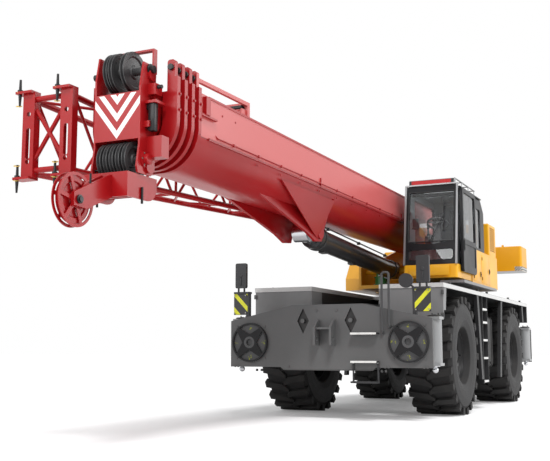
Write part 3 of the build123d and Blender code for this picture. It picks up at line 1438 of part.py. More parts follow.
# Panes: the cab's outer form made a thin skin, cut to each window with a gap for its seal.
pane_depth = 18              # outer face of a pane inside the shell's outer face
pane_thickness = 6
seal_gap = 2
with BuildPart() as cab_glass:
    for window in [None] + window_table:
        outline = window_outline(window, seal_gap) if window else screen_outline(seal_gap)
        face = window[1] if window else "front"
        block = extrude(outline, amount=cut_planes[face][1], mode=Mode.PRIVATE)
        outer = extrude(cab_profile(pane_depth), amount=cab_wide - 2 * pane_depth, mode=Mode.PRIVATE)
        deeper = pane_depth + pane_thickness
        inner = extrude(cab_profile(deeper), amount=cab_wide - 2 * deeper, mode=Mode.PRIVATE)
        add((block & outer) - inner)
finish(cab_glass, "cab_glass")

# Sliding door on the left side: pressed frame with a tall window, and its pane.
door_lap = 45
door_y = cab_front_y + (door_opening[0] + door_opening[1]) / 2
door_z = (door_opening[2] + door_opening[3]) / 2
door_wide = door_opening[1] - door_opening[0] + 2 * door_lap
door_high = door_opening[3] - door_opening[2] + 2 * door_lap
door_x = cab_outer_x + door_gap
pane_low = 2830
pane_rim = 75


def door_pane(inset):
    """Window opening of the door."""
    low = pane_low + inset
    high = door_z + door_high / 2 - pane_rim - inset
    with BuildSketch(Plane.YZ.offset(door_x)) as outline:
        with Locations((door_y, (low + high) / 2)):
            RectangleRounded(door_wide - 2 * pane_rim - 2 * inset, high - low, 50)
    return outline.sketch


with BuildPart() as cab_door:
    with BuildSketch(Plane.YZ.offset(door_x)):
        with Locations((door_y, door_z)):
            RectangleRounded(door_wide, door_high, 70)
    extrude(amount=door_thickness)
    chamfer(cab_door.faces().sort_by(Axis.X)[-1].edges(), length=14)
    extrude(door_pane(0), amount=door_thickness, mode=Mode.SUBTRACT)
    # shallow pressing below the window
    with BuildSketch(Plane.YZ.offset(door_x + door_thickness)):
        with Locations((door_y, (door_opening[2] + pane_low) / 2 - 10)):
            RectangleRounded(door_wide - 2 * pane_rim, pane_low - door_opening[2] - 150, 40)
    extrude(amount=-10, mode=Mode.SUBTRACT)
finish(cab_door, "cab_door")

with BuildPart() as cab_door_glass:
    extrude(door_pane(seal_gap), amount=door_thickness)
    with BuildSketch(Plane.YZ.offset(door_x + 20 + pane_thickness)):
        with Locations((door_y, door_z)):
            Rectangle(door_wide, door_high)
    extrude(amount=door_thickness, mode=Mode.SUBTRACT)
    with BuildSketch(Plane.YZ.offset(door_x - 1)):
        with Locations((door_y, door_z)):
            Rectangle(door_wide, door_high)
    extrude(amount=21, mode=Mode.SUBTRACT)
finish(cab_door_glass, "cab_door_glass")

# Inside the cab: seat with its two armrest consoles, steering column with its wheel, front dash.
seat_y = cab_front_y + 1120
seat_width = 500
seat_low = cab_floor + 330
cushion = 120
back_high = 560
headrest = 150
column_y = cab_front_y + 330
wheel_radius = 190
with BuildPart() as cab_interior:
    with BuildSketch(Plane.XY.offset(cab_floor)):
        with Locations((cab_mid_x, seat_y)):
            RectangleRounded(400, 420, 40)
    extrude(amount=seat_low - cab_floor, taper=6)
    with BuildSketch(Plane.XY.offset(seat_low)):
        with Locations((cab_mid_x, seat_y)):
            RectangleRounded(seat_width, 520, 70)
    extrude(amount=cushion)
    with BuildSketch(Plane.YZ.offset(cab_mid_x - seat_width / 2 + 10)):
        with BuildLine():
            Polyline(
                (seat_y + 170, seat_low + 60), (seat_y + 280, seat_low + cushion + back_high),
                (seat_y + 270, seat_low + cushion + back_high + headrest), (seat_y + 360, seat_low + cushion + back_high + headrest),
                (seat_y + 400, seat_low + cushion + back_high), (seat_y + 300, seat_low + 20), close=True,
            )
        make_face()
    extrude(amount=seat_width - 20)
    # headrest is narrower than the back
    for side in (1, -1):
        with BuildSketch(Plane.XY.offset(seat_low + cushion + back_high)):
            with Locations((cab_mid_x + side * (seat_width / 2 - 50), seat_y + 330)):
                Rectangle(130, 240)
        extrude(amount=headrest, mode=Mode.SUBTRACT)
        # armrest console with its joystick
        with BuildSketch(Plane.YZ.offset(cab_mid_x + side * (seat_width / 2 + 5))):
            with BuildLine():
                Polyline((seat_y + 260, seat_low - 60), (seat_y + 260, seat_low + 260), (seat_y - 60, seat_low + 270),
                         (seat_y - 230, seat_low + 220), (seat_y - 230, seat_low + 130), (seat_y - 60, seat_low - 60),
                         close=True)
            make_face()
        extrude(amount=side * 95)
        with BuildSketch(Plane.XY.offset(seat_low + 215)):
            with Locations((cab_mid_x + side * (seat_width / 2 + 52), seat_y - 160)):
                Circle(18)
        extrude(amount=150)
    # steering column, wheel and dash
    with BuildSketch(Plane.YZ.offset(cab_mid_x - 50)):
        with BuildLine():
            Polyline((column_y - 60, cab_floor), (column_y + 110, cab_floor + 690), (column_y + 190, cab_floor + 660),
                     (column_y + 60, cab_floor), close=True)
        make_face()
    extrude(amount=100)
    wheel_plane = Plane(origin=(cab_mid_x, column_y + 160, cab_floor + 700), x_dir=(1, 0, 0), z_dir=(0, 0.42, 0.91))
    with BuildSketch(wheel_plane):
        Circle(wheel_radius)
        Circle(wheel_radius - 30, mode=Mode.SUBTRACT)
        Circle(48)
        for turn in (90, 210, 330):
            with Locations(Location((0, 0, 0), (0, 0, turn))):
                with Locations((wheel_radius / 2, 0)):
                    Rectangle(wheel_radius - 20, 26)
    extrude(amount=26)
    with BuildSketch(Plane.YZ.offset(cab_inner_x + cab_wall + 20)):
        with BuildLine():
            Polyline((cab_front_y + 120, cab_floor), (cab_front_y + 150, cab_floor + 330),
                     (cab_front_y + 230, cab_floor + 330), (cab_front_y + 260, cab_floor), close=True)
        make_face()
    extrude(amount=cab_wide - 2 * cab_wall - 40)
finish(cab_interior, "cab_interior")

# Light-grey trim of the cab: strips up the windscreen's edges, roof rails, and the walkway ledge below.
strip_width = 32
rail_high = cab_roof + 105
rail_post = 12
ledge_low = 2100
ledge_thickness = 45
with BuildPart() as cab_rails:
    for x in (cab_inner_x + strip_width / 2, cab_outer_x - strip_width / 2):
        with BuildSketch(Plane.YZ.offset(x - strip_width / 2)):
            with BuildLine():
                base_y = cab_front_y - 60
                Polyline(
                    (base_y - 22, shell_low), (base_y - 22 + front_lean, cab_roof + 14),
                    (base_y + front_lean + 40, cab_roof + 14), (base_y + front_lean + 40, cab_roof + 1),
                    (base_y - 1 + front_lean, cab_roof + 1), (base_y - 1, shell_low), close=True,
                )
            make_face()
        extrude(amount=strip_width)
    # header over the windscreen
    with BuildSketch(Plane.XY.offset(cab_roof + 2)):
        with Locations((cab_mid_x, cab_front_y - 60 + front_lean - 6)):
            Rectangle(cab_wide - 20, 34)
    extrude(amount=22)
    # roof rails on posts, with three cross bars
    rail_front = cab_front_y + front_lean - 20
    rail_rear = cab_rear_y - roof_slope[0] - 60
    for x in (cab_inner_x + 70, cab_outer_x - 70):
        with BuildSketch(Plane.XZ.offset(-rail_front)):
            with Locations((x, rail_high)):
                RegularPolygon(rail_post, 8)
        extrude(amount=-(rail_rear - rail_front))
        for share in (0.02, 0.34, 0.67, 0.98):
            with BuildSketch(Plane.XY.offset(cab_roof)):
                with Locations((x, rail_front + share * (rail_rear - rail_front))):
                    RegularPolygon(rail_post - 2, 6)
            extrude(amount=rail_high - cab_roof)
    for share in (0.02, 0.34, 0.67, 0.98):
        with BuildSketch(Plane.YZ.offset(cab_inner_x + 70)):
            with Locations((rail_front + share * (rail_rear - rail_front), rail_high)):
                RegularPolygon(rail_post - 2, 6)
        extrude(amount=cab_wide - 140)
    # walkway ledge along the left side, under the cab's base
    with BuildSketch(Plane.XY.offset(ledge_low)):
        with Locations((cab_outer_x - 120, cab_front_y + 1300)):
            Rectangle(400, 2500)
    extrude(amount=ledge_thickness)
    with BuildSketch(Plane.XY.offset(ledge_low + ledge_thickness)):
        with Locations((cab_outer_x - 200, cab_front_y + 500), (cab_outer_x - 200, cab_front_y + 1700)):
            Rectangle(160, 60)
    extrude(amount=base_low - ledge_low - ledge_thickness)
finish(cab_rails, "cab_rails")

light_bar_width = 760
with BuildPart() as light_bar:
    with BuildSketch(Plane.XY.offset(cab_roof + 25)):
        with Locations((cab_mid_x, cab_front_y - 60 + front_lean - 2)):
            RectangleRounded(light_bar_width, 46, 14)
    extrude(amount=62)
finish(light_bar, "light_bar")

# Yellow bodywork: the cab's base, the side panel and cabinet behind it, the louvre box, the right body.
cabinet_rear_y = cab_rear_y + 1010
panel_front_y = cab_front_y + 910
panel_high = 2750
panel_round = 230
panel_thickness = 12
louvre_front_y = cab_rear_y + 420
louvre_high = 3360
louvre_count = 12
right_outer_x = -1300
right_inner_x = -620
right_front_y = cab_front_y + 2300
right_rear_y = cab_front_y + 4200
with BuildPart() as side_bodies:
    # base under the cab, its front edge leaning as the cab's does
    with BuildSketch(Plane.YZ.offset(cab_inner_x)):
        with BuildLine():
            Polyline((cab_front_y - 75, base_low), (cab_front_y - 60, shell_low - 1), (cab_rear_y, shell_low - 1),
                     (cab_rear_y, base_low), close=True)
        make_face()
    extrude(amount=cab_wide)
    fillet(side_bodies.edges().filter_by(Axis.Z, tolerance=10).sort_by(Axis.Y)[:2], radius=40)
    # cabinet behind the cab
    with BuildSketch(Plane.XY.offset(base_low)):
        with Locations(((cab_inner_x + cab_outer_x) / 2, (cab_rear_y + 5 + cabinet_rear_y) / 2)):
            Rectangle(cab_wide, cabinet_rear_y - cab_rear_y - 5)
    extrude(amount=panel_high - base_low)
    # outer panel, rounded at its front top corner, over the cab's base and the cabinet
    with BuildSketch(Plane.YZ.offset(cab_outer_x + 1)):
        with BuildLine():
            Polyline((panel_front_y + panel_round, panel_high), (cabinet_rear_y, panel_high),
                     (cabinet_rear_y, base_low - 30), (panel_front_y, base_low - 30),
                     (panel_front_y, panel_high - panel_round))
            RadiusArc((panel_front_y, panel_high - panel_round), (panel_front_y + panel_round, panel_high), panel_round)
        make_face()
    extrude(amount=panel_thickness)
    # tie strips from the panel to the base and the cabinet
    with BuildSketch(Plane.XY.offset(base_low + 20)):
        with Locations((cab_outer_x, (panel_front_y + cabinet_rear_y) / 2)):
            Rectangle(6, cabinet_rear_y - panel_front_y - 60)
    extrude(amount=120)
    # louvre box with slots in its outer face
    with BuildSketch(Plane.XY.offset(panel_high)):
        with Locations(((cab_inner_x + 360 + cab_outer_x) / 2, (louvre_front_y + cabinet_rear_y) / 2)):
            RectangleRounded(cab_wide - 360, cabinet_rear_y - louvre_front_y, 30)
    extrude(amount=louvre_high - panel_high)
    chamfer(side_bodies.faces().sort_by(Axis.Z)[-1].edges(), length=20)
    with BuildSketch(Plane.YZ.offset(cab_outer_x - 30)):
        with Locations(((louvre_front_y + cabinet_rear_y) / 2, (panel_high + louvre_high) / 2 + 20)):
            with GridLocations(0, 38, 1, louvre_count):
                Rectangle(cabinet_rear_y - louvre_front_y - 150, 20)
    extrude(amount=40, mode=Mode.SUBTRACT)
    # right body: a valve cabinet with a slanted front
    with BuildSketch(Plane.YZ.offset(right_outer_x)):
        with BuildLine():
            Polyline((right_front_y, base_low), (right_front_y, base_low + 230), (right_front_y + 260, panel_high),
                     (right_rear_y, panel_high), (right_rear_y, base_low), close=True)
        make_face()
    extrude(amount=right_inner_x - right_outer_x)
    # brackets that carry the bodies on the cheek plates
    for x0, x1, y in ((cheek_outer_x, cab_inner_x + 10, cab_rear_y + 500), (right_inner_x - 10, -cheek_outer_x,
                                                                           right_front_y + 500)):
        with BuildSketch(Plane.XY.offset(base_low + 10)):
            with Locations(((x0 + x1) / 2, y)):
                Rectangle(x1 - x0, 500)
        extrude(amount=120)
finish(side_bodies, "side_bodies")
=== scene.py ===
from math import cos, pi, radians, sin

import bmesh
import bpy
from mathutils import Matrix, Vector


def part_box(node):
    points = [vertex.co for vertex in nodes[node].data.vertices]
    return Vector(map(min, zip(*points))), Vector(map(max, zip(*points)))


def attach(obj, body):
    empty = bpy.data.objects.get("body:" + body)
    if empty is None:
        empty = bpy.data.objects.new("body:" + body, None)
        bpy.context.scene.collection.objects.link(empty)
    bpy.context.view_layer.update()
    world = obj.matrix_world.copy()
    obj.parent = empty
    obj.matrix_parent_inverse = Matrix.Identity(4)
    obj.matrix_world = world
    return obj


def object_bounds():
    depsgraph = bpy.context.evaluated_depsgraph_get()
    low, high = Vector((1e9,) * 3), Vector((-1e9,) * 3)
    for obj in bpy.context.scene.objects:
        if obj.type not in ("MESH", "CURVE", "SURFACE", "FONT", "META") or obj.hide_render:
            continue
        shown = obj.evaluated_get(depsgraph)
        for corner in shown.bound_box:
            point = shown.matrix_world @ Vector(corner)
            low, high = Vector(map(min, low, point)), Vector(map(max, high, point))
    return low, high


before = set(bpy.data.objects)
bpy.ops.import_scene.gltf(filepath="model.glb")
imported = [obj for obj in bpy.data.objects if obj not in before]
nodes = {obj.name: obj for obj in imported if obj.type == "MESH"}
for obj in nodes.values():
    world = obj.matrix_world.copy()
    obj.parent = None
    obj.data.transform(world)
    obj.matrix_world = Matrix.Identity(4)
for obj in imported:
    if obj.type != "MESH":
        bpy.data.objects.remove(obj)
cad_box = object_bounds()
scene = bpy.context.scene
scene.view_settings.view_transform = "Standard"

# ======== studio
# A pale studio floor, one soft sun, two soft cards and a white surround. The camera stands low, ahead of
# the machine and to its left, as a person would stand to see it whole.
eye = Vector((5.05, -13.30, 1.01))
heading, rise = radians(25.4), radians(7.6)
aim = Vector((-sin(heading) * cos(rise), cos(heading) * cos(rise), sin(rise)))
camera = bpy.data.objects.new("camera", bpy.data.cameras.new("camera"))
scene.collection.objects.link(camera)
camera.location = eye
camera.rotation_euler = aim.to_track_quat("-Z", "Y").to_euler()
camera.data.lens = 58.9
camera.data.clip_end = 400
scene.camera = camera


def lamp(name, kind, power, place, target, **shape):
    """A lamp at place that shines towards target."""
    data = bpy.data.lights.new(name, kind)
    data.energy = power
    for key, value in shape.items():
        setattr(data, key, value)
    made = bpy.data.objects.new(name, data)
    scene.collection.objects.link(made)
    made.location = place
    made.rotation_euler = (Vector(target) - Vector(place)).to_track_quat("-Z", "Y").to_euler()


machine_middle = (cad_box[0] + cad_box[1]) / 2
lamp("sun", "SUN", 2.15, (6, -9, 16), machine_middle, angle=radians(14))
lamp("side_card", "AREA", 1500, (16, 9, 9), machine_middle, shape="RECTANGLE", size=16, size_y=8)
lamp("front_card", "AREA", 900, (-6, -20, 9), machine_middle, shape="RECTANGLE", size=10, size_y=6)

# the surround is plain white to the camera, to reflections and through glass, and dimmer as a light
surround_light, surround_seen = 0.56, 1.0
world = bpy.data.worlds.new("studio")
scene.world = world
world.use_nodes = True
sky = world.node_tree
sky.nodes.clear()
sky_out = sky.nodes.new("ShaderNodeOutputWorld")
paths = sky.nodes.new("ShaderNodeLightPath")
seen = paths.outputs["Is Camera Ray"]
for ray in ("Is Glossy Ray", "Is Transmission Ray"):
    either = sky.nodes.new("ShaderNodeMath")
    either.operation = "MAXIMUM"
    sky.links.new(seen, either.inputs[0])
    sky.links.new(paths.outputs[ray], either.inputs[1])
    seen = either.outputs[0]
choice = sky.nodes.new("ShaderNodeMixShader")
sky.links.new(seen, choice.inputs[0])
for slot_number, strength in ((1, surround_light), (2, surround_seen)):
    plain = sky.nodes.new("ShaderNodeBackground")
    plain.inputs["Color"].default_value = (1, 1, 1, 1)
    plain.inputs["Strength"].default_value = strength
    sky.links.new(plain.outputs[0], choice.inputs[slot_number])
sky.links.new(choice.outputs[0], sky_out.inputs["Surface"])


class Shade:
    """A number or colour in a material's node tree, used in plain arithmetic."""

    def __init__(self, finish, socket):
        self.finish, self.socket = finish, socket

    def math(self, operation, *others):
        return self.finish.node("ShaderNodeMath", {"operation": operation}, dict(enumerate((self,) + others)))

    def __add__(self, other):
        return self.math("ADD", other)

    def __sub__(self, other):
        return self.math("SUBTRACT", other)

    def __mul__(self, other):
        return self.math("MULTIPLY", other)

    def __truediv__(self, other):
        return self.math("DIVIDE", other)

    def __rsub__(self, other):
        return self * -1 + other

    def __gt__(self, other):
        return self.math("GREATER_THAN", other)

    def __lt__(self, other):
        return self.math("LESS_THAN", other)

    def __abs__(self):
        return self.math("ABSOLUTE")

    __radd__, __rmul__ = __add__, __mul__

    def fract(self):
        return self.math("FRACT")

    def root(self):
        return self.math("SQRT")

    def wave(self):
        """A sine that swings between 0 and 1."""
        return self.math("SINE") * 0.5 + 0.5

    def within(self, low, high):
        """1 between low and high, else 0."""
        return (self > low) * (self < high)

    def ramp(self, low, high):
        """0 below low, 1 above high, straight between."""
        return self.finish.node("ShaderNodeMapRange", None, {0: self, 1: low, 2: high, 3: 0.0, 4: 1.0})

    def mix(self, first, second):
        """First colour where this is 0, second where it is 1."""
        return self.finish.node("ShaderNodeMix", {"data_type": "RGBA"}, {0: self, 6: first, 7: second}, output=2)

    def bump(self, distance, strength):
        return self.finish.node("ShaderNodeBump", None, {"Height": self, "Distance": distance, "Strength": strength})


class Finish:
    """One material with a Principled shader. Sockets named in constants are set once, the rest are fed."""

    def __init__(self, name, **constants):
        self.material = bpy.data.materials.new(name)
        self.material.use_nodes = True
        self.tree = self.material.node_tree
        self.shader = self.tree.nodes["Principled BSDF"]
        self.spot = self.node("ShaderNodeTexCoord", output="Object")
        self.feed(**constants)

    def put(self, socket, value):
        if isinstance(value, Shade):
            self.tree.links.new(value.socket, socket)
        elif isinstance(value, (tuple, list)) and len(value) == 3 and len(socket.default_value) == 4:
            socket.default_value = (*value, 1)
        else:
            socket.default_value = value

    def node(self, kind, settings=None, inputs=None, output=0):
        made = self.tree.nodes.new(kind)
        for key, value in (settings or {}).items():
            setattr(made, key, value)
        for key, value in (inputs or {}).items():
            self.put(made.inputs[key], value)
        return Shade(self, made.outputs[output])

    def feed(self, **sockets):
        for key, value in sockets.items():
            self.put(self.shader.inputs[key.replace("_", " ")], value)
        return self

    def axes(self):
        """The three parts of the object coordinates, in metres."""
        parts = self.tree.nodes.new("ShaderNodeSeparateXYZ")
        self.put(parts.inputs[0], self.spot)
        return [Shade(self, part) for part in parts.outputs]

    def noise(self, scale, detail=3.0):
        return self.node("ShaderNodeTexNoise", None,
                         {"Vector": self.spot, "Scale": scale, "Detail": detail, "Roughness": 0.55})

    def cells(self, scale):
        return self.node("ShaderNodeTexVoronoi", None, {"Vector": self.spot, "Scale": scale})

    def on(self, *names):
        """Gives CAD nodes, or pieces, this finish."""
        for name in names:
            thing = nodes.get(name, name) if isinstance(name, str) else name
            thing.data.materials.clear()
            thing.data.materials.append(self.material)
        return self


def speckled(name, scale, first, second, rough, detail=3.0, relief=None, **constants):
    """A finish in which one fine noise moves the colour, the roughness and the relief together.
    rough is how far the noise moves the roughness and its least value; relief is distance and strength."""
    finish = Finish(name, **constants)
    grain = finish.noise(scale, detail)
    finish.feed(Base_Color=grain.mix(first, second), Roughness=grain * rough[0] + rough[1])
    return finish.feed(Normal=grain.bump(*relief)) if relief else finish


floor_half = 150
bpy.ops.mesh.primitive_grid_add(x_subdivisions=2, y_subdivisions=2, size=2 * floor_half, location=(0, 0, 0))
floor = bpy.context.object
floor.name = "floor"
floor_finish = Finish("studio_floor", Base_Color=(0.86, 0.86, 0.865), Roughness=0.9, Specular_IOR_Level=0.1)
lit = floor_finish.node("ShaderNodeLightPath", output="Is Camera Ray")
lift = floor_finish.node("ShaderNodeEmission", None, {"Color": (1, 1, 1), "Strength": 0.14})
none = floor_finish.node("ShaderNodeEmission", None, {"Color": (0, 0, 0), "Strength": 0.0})
glow = floor_finish.node("ShaderNodeMixShader", None, {0: lit, 1: none, 2: lift})
both = floor_finish.node("ShaderNodeAddShader", None,
                         {0: Shade(floor_finish, floor_finish.shader.outputs[0]), 1: glow})
floor_finish.put(floor_finish.tree.nodes["Material Output"].inputs["Surface"], both)
floor_finish.on(floor)

# ======== carrier frame and outrigger boxes
# The carrier's backbone is two deep steel box girders with the front and rear outrigger boxes welded
# across them. Cut plate, welded, shot blasted and painted two-pack grey; covers are screwed on.
plate_face, rear_plate_face = -0.885, 7.070      # outer faces of the front and rear outrigger boxes
pocket_x, pocket_z = 0.38, 1.45                  # middles of the diamond pockets in both plates
float_x, float_z = 1.257, 1.135                  # middles of the stowed floats


def paint(name, colour, roughness=0.38, coat=0.4, dust=0.12, marks=()):
    """Two-pack machine paint: faint tone drift, fine orange peel and a little road dust low down.
    marks gives patches of another colour: a function of x, y, z for the share, and the colour."""
    finish = Finish(name, Coat_Roughness=0.12, Specular_IOR_Level=0.3)
    x, y, z = finish.axes()
    fine = finish.noise(38.0, 4.0)
    tone = finish.noise(1.3).ramp(0.35, 0.65).mix(tuple(c * 0.92 for c in colour),
                                                  tuple(min(1, c * 1.07) for c in colour))
    for share, other in marks:
        tone = share(x, y, z).mix(tone, other)
    low = (1 - z.ramp(0.3, 2.2)) * dust * (fine * 0.8 + 0.6)
    return finish.feed(Base_Color=low.mix(tone, (0.35, 0.33, 0.30)), Coat_Weight=(1 - low) * coat,
                       Roughness=fine * 0.12 + low * 0.5 + (roughness - 0.06),
                       Normal=finish.noise(190.0, 1.0).bump(0.0005, 0.3))


carrier_grey = paint("carrier_grey", (0.083, 0.084, 0.086), 0.46, 0.08, 0.08, marks=[
    # painted shade: inside the open boxes and on the hidden underside the grey is painted darker
    (lambda x, y, z: (z < 0.74) * 0.55, (0.035, 0.035, 0.037)),
    # painted shade: the recessed diamond pockets of the front and rear plates are painted near black
    (lambda x, y, z: (abs(abs(x) - pocket_x) / 0.095 + abs(z - pocket_z) / 0.19 < 1.03)
     * y.within(plate_face + 0.0005, rear_plate_face - 0.0005), (0.014, 0.014, 0.015)),
])
carrier_grey.on("chassis_frame", "outrigger_box_front", "outrigger_box_rear", "engine_block")


class Form:
    """A mesh built up from closed solids, with every place in the shared frame."""

    def __init__(self, name):
        self.name, self.mesh = name, bmesh.new()

    def block(self, low, high, bevel=0.0):
        """A box between two corners; bevel rounds its edges."""
        middle, size = (Vector(low) + Vector(high)) / 2, Vector(high) - Vector(low)
        place = Matrix.Translation(middle) @ Matrix.Diagonal((*size, 1))
        made = bmesh.ops.create_cube(self.mesh, size=1.0, matrix=place)
        if bevel:
            edges = {e for v in made["verts"] for e in v.link_edges}
            bmesh.ops.bevel(self.mesh, geom=list(edges), offset=bevel, segments=2, affect="EDGES", profile=0.5)
        return self

    def slab(self, middle, half, bevel):
        """A box about its middle, from its half sizes."""
        return self.block(Vector(middle) - Vector(half), Vector(middle) + Vector(half), bevel)

    def turned(self, centre, axis, profile, steps=28):
        """A closed solid of revolution. The profile runs along the axis as (distance, radius)."""
        turn = Vector(axis).to_track_quat("Z", "Y").to_matrix()
        rings = [[self.mesh.verts.new(Vector(centre) + turn @ Vector((radius * cos(2 * pi * k / steps),
                                                                     radius * sin(2 * pi * k / steps), along)))
                  for k in range(steps)] for along, radius in profile]
        for lower, upper in zip(rings, rings[1:]):
            for k in range(steps):
                self.mesh.faces.new((lower[k], lower[k - 1], upper[k - 1], upper[k]))
        self.mesh.faces.new(rings[0])
        self.mesh.faces.new(rings[-1][::-1])
        return self

    def rod(self, start, end, radius, steps=16):
        """A round bar between two points, with a small chamfer at its ends."""
        length, nip = (Vector(end) - Vector(start)).length, radius * 0.12
        return self.turned(start, Vector(end) - Vector(start),
                           [(0, radius - nip), (nip, radius), (length - nip, radius), (length, radius - nip)], steps)

    def plate(self, outline, thickness):
        """A flat plate: its outline as points in space, and how far and which way it is thickened."""
        near = [self.mesh.verts.new(p) for p in outline]
        far = [self.mesh.verts.new(Vector(p) + Vector(thickness)) for p in outline]
        self.mesh.faces.new(near)
        self.mesh.faces.new(far[::-1])
        for k in range(len(near)):
            self.mesh.faces.new((near[k - 1], near[k], far[k], far[k - 1]))
        return self

    def made(self, finish):
        """The finished object: normals outwards, smooth where the surface bends only a little."""
        bmesh.ops.recalc_face_normals(self.mesh, faces=self.mesh.faces)
        mesh = bpy.data.meshes.new(self.name)
        self.mesh.to_mesh(mesh)
        self.mesh.free()
        piece = bpy.data.objects.new(self.name, mesh)
        scene.collection.objects.link(piece)
        mesh.shade_smooth()
        mesh.set_sharp_from_angle(angle=radians(34))
        finish.on(piece)
        return piece


class Tree:
    """A Geometry Nodes tree made in the script. Its inputs are set by their sockets' identifiers."""

    def __init__(self, name, **inputs):
        self.group = bpy.data.node_groups.new(name, "GeometryNodeTree")
        sides = self.group.interface
        sides.new_socket("Geometry", in_out="INPUT", socket_type="NodeSocketGeometry")
        self.keys = {key: sides.new_socket(key, in_out="INPUT", socket_type="NodeSocket" + kind).identifier
                     for key, kind in inputs.items()}
        sides.new_socket("Geometry", in_out="OUTPUT", socket_type="NodeSocketGeometry")
        self.inside = self.group.nodes.new("NodeGroupInput")

    def node(self, kind, settings=None, **inputs):
        """One node. An input is a value, a node, a list of nodes, or the name of one of the tree's inputs."""
        made = self.group.nodes.new(kind)
        for key, value in (settings or {}).items():
            setattr(made, key, value)
        for key, value in inputs.items():
            socket = made.inputs[key.replace("_", " ")]
            if isinstance(value, str):
                self.group.links.new(self.inside.outputs[value], socket)
            elif isinstance(value, (list, bpy.types.Node)):
                for source in value if isinstance(value, list) else [value]:
                    self.group.links.new(source.outputs[0], socket)
            else:
                socket.default_value = value
        return made

    def ends(self, last):
        real = self.node("GeometryNodeRealizeInstances", Geometry=last)
        done = self.node("GeometryNodeSetMaterial", Geometry=real, Material="Finish")
        self.group.links.new(done.outputs[0], self.group.nodes.new("NodeGroupOutput").inputs[0])

    def made(self, name, points, finish, **values):
        """Runs the tree on a mesh of loose points and returns the plain mesh that comes out."""
        start = bpy.data.meshes.new(name)
        start.from_pydata([tuple(p) for p in points], [], [])
        piece = bpy.data.objects.new(name, start)
        scene.collection.objects.link(piece)
        modifier = piece.modifiers.new("nodes", "NODES")
        modifier.node_group = self.group
        for key, value in values.items():
            modifier[self.keys[key]] = value
        modifier[self.keys["Finish"]] = finish.material
        bpy.context.view_layer.update()
        plain = bpy.data.meshes.new_from_object(piece.evaluated_get(bpy.context.evaluated_depsgraph_get()))
        piece.modifiers.remove(modifier)
        piece.data = plain
        plain.name = name
        finish.on(piece)
        return piece


screws = Tree("screws_on_points", Axis="Vector", Radius="Float", Height="Float", Washer="Float", Finish="Material")
screw_head = screws.node("GeometryNodeMeshCylinder", Vertices=6, Radius="Radius", Depth="Height")
screw_washer = screws.node("GeometryNodeMeshCylinder", Vertices=12, Radius="Washer", Depth=0.006)
screw_whole = screws.node("GeometryNodeJoinGeometry", Geometry=[screw_head, screw_washer])
screw_turn = screws.node("FunctionNodeAlignRotationToVector", {"axis": "Z"}, Vector="Axis")
screws.ends(screws.node("GeometryNodeInstanceOnPoints", Points="Geometry", Instance=screw_whole, Rotation=screw_turn))
zinc = speckled("zinc_plated_screws", 60.0, (0.20, 0.20, 0.19), (0.42, 0.41, 0.38), (0.3, 0.25), Metallic=0.85)


def screw_row(name, points, axis, finish, body, radius=0.014, height=0.016, washer=0.020):
    """A set of hexagon screws, standing along axis on the given points."""
    piece = screws.made(name, points, finish, Axis=axis, Radius=radius, Height=height, Washer=washer)
    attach(piece, body)


def ring_of(count, radius, centre, about, start=0.0):
    """Points spread evenly round a circle about the X, Y or Z axis through centre."""
    first, second = (Vector(way) for way, name in (((1, 0, 0), "X"), ((0, 1, 0), "Y"), ((0, 0, 1), "Z"))
                     if name != about)
    turns = (2 * pi * k / count + start for k in range(count))
    return [Vector(centre) + radius * (first * cos(t) + second * sin(t)) for t in turns]


# four screws round each float's carrier plate, less those the plate's end cuts off
around = [(p.x, p.z) for side in (-1, 1) for p in ring_of(4, 0.335, (side * float_x, 0, float_z), "Y", pi / 4)
          if abs(p.x) < 1.57]
top_and_sill = [(-0.16, 1.60), (0.16, 1.60)] + [(x, 0.775) for x in (-1.52, -1.47, -0.62, 0.90, 0.95, 1.47, 1.52)]
cover_rows = [(x, z) for x in (-0.28, 0.28) for z in (0.95, 1.10, 1.25)]
for end, face_y, outward, places in (("front", plate_face - 0.004, -1, around + top_and_sill),
                                     ("rear", rear_plate_face + 0.004, 1, around + cover_rows)):
    screw_row(f"{end}_plate_screws", [(x, face_y, z) for x, z in places], (0, outward, 0), carrier_grey,
              "carrier")

# eyes under the sill and the reflector on the tow bracket
sill_eyes = Form("sill_eyes")
for x in (-1.16, -1.08, 0.84, 0.90):
    sill_eyes.block((x - 0.010, plate_face, 0.735), (x + 0.010, plate_face + 0.05, 0.700), 0.003)
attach(sill_eyes.made(carrier_grey), "carrier")
reflector = Finish("white_reflector", Base_Color=(0.80, 0.80, 0.76))
cells = reflector.cells(160.0)
reflector.feed(Roughness=cells * 0.3 + 0.15, Normal=cells.bump(0.0008, 0.5))
tow_reflector = Form("tow_reflector").slab((-0.153, plate_face - 0.1275, 1.215), (0.007, 0.0225, 0.050), 0.003)
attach(tow_reflector.made(reflector), "carrier")

# ======== deck
# Chequer plate over the carrier from bumper to bumper, on folded side walls, with the wheel arches cut in
# it. Folded and welded steel, painted grey, with a pale anti-slip edge all round its outer side.
deck_top, deck_edge_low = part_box("deck")[1].z, 1.952
stud_pitch = 0.034
deck_grey = Finish("deck_grey", Coat_Roughness=0.2, Specular_IOR_Level=0.3)
x, y, z = deck_grey.axes()
grime = deck_grey.noise(2.2, 5.0)
fine = deck_grey.noise(40.0)
on_top = z > deck_top - 0.004
walked = on_top * grime.ramp(0.42, 0.70)
wall = grime.ramp(0.3, 0.7).mix((0.190, 0.192, 0.195), (0.225, 0.227, 0.230))
# painted shade: behind y 0.30 the walls below the pale edge are painted near black
wall = ((y > 0.30) * (z < deck_edge_low)).mix(wall, (0.022, 0.022, 0.023))
edge = fine.mix((0.54, 0.54, 0.535), (0.62, 0.62, 0.615))
deck_tone = z.within(deck_edge_low, deck_top - 0.004).mix(wall, edge)
deck_tone = (on_top * 0.9).mix(deck_tone, (0.25, 0.25, 0.255))
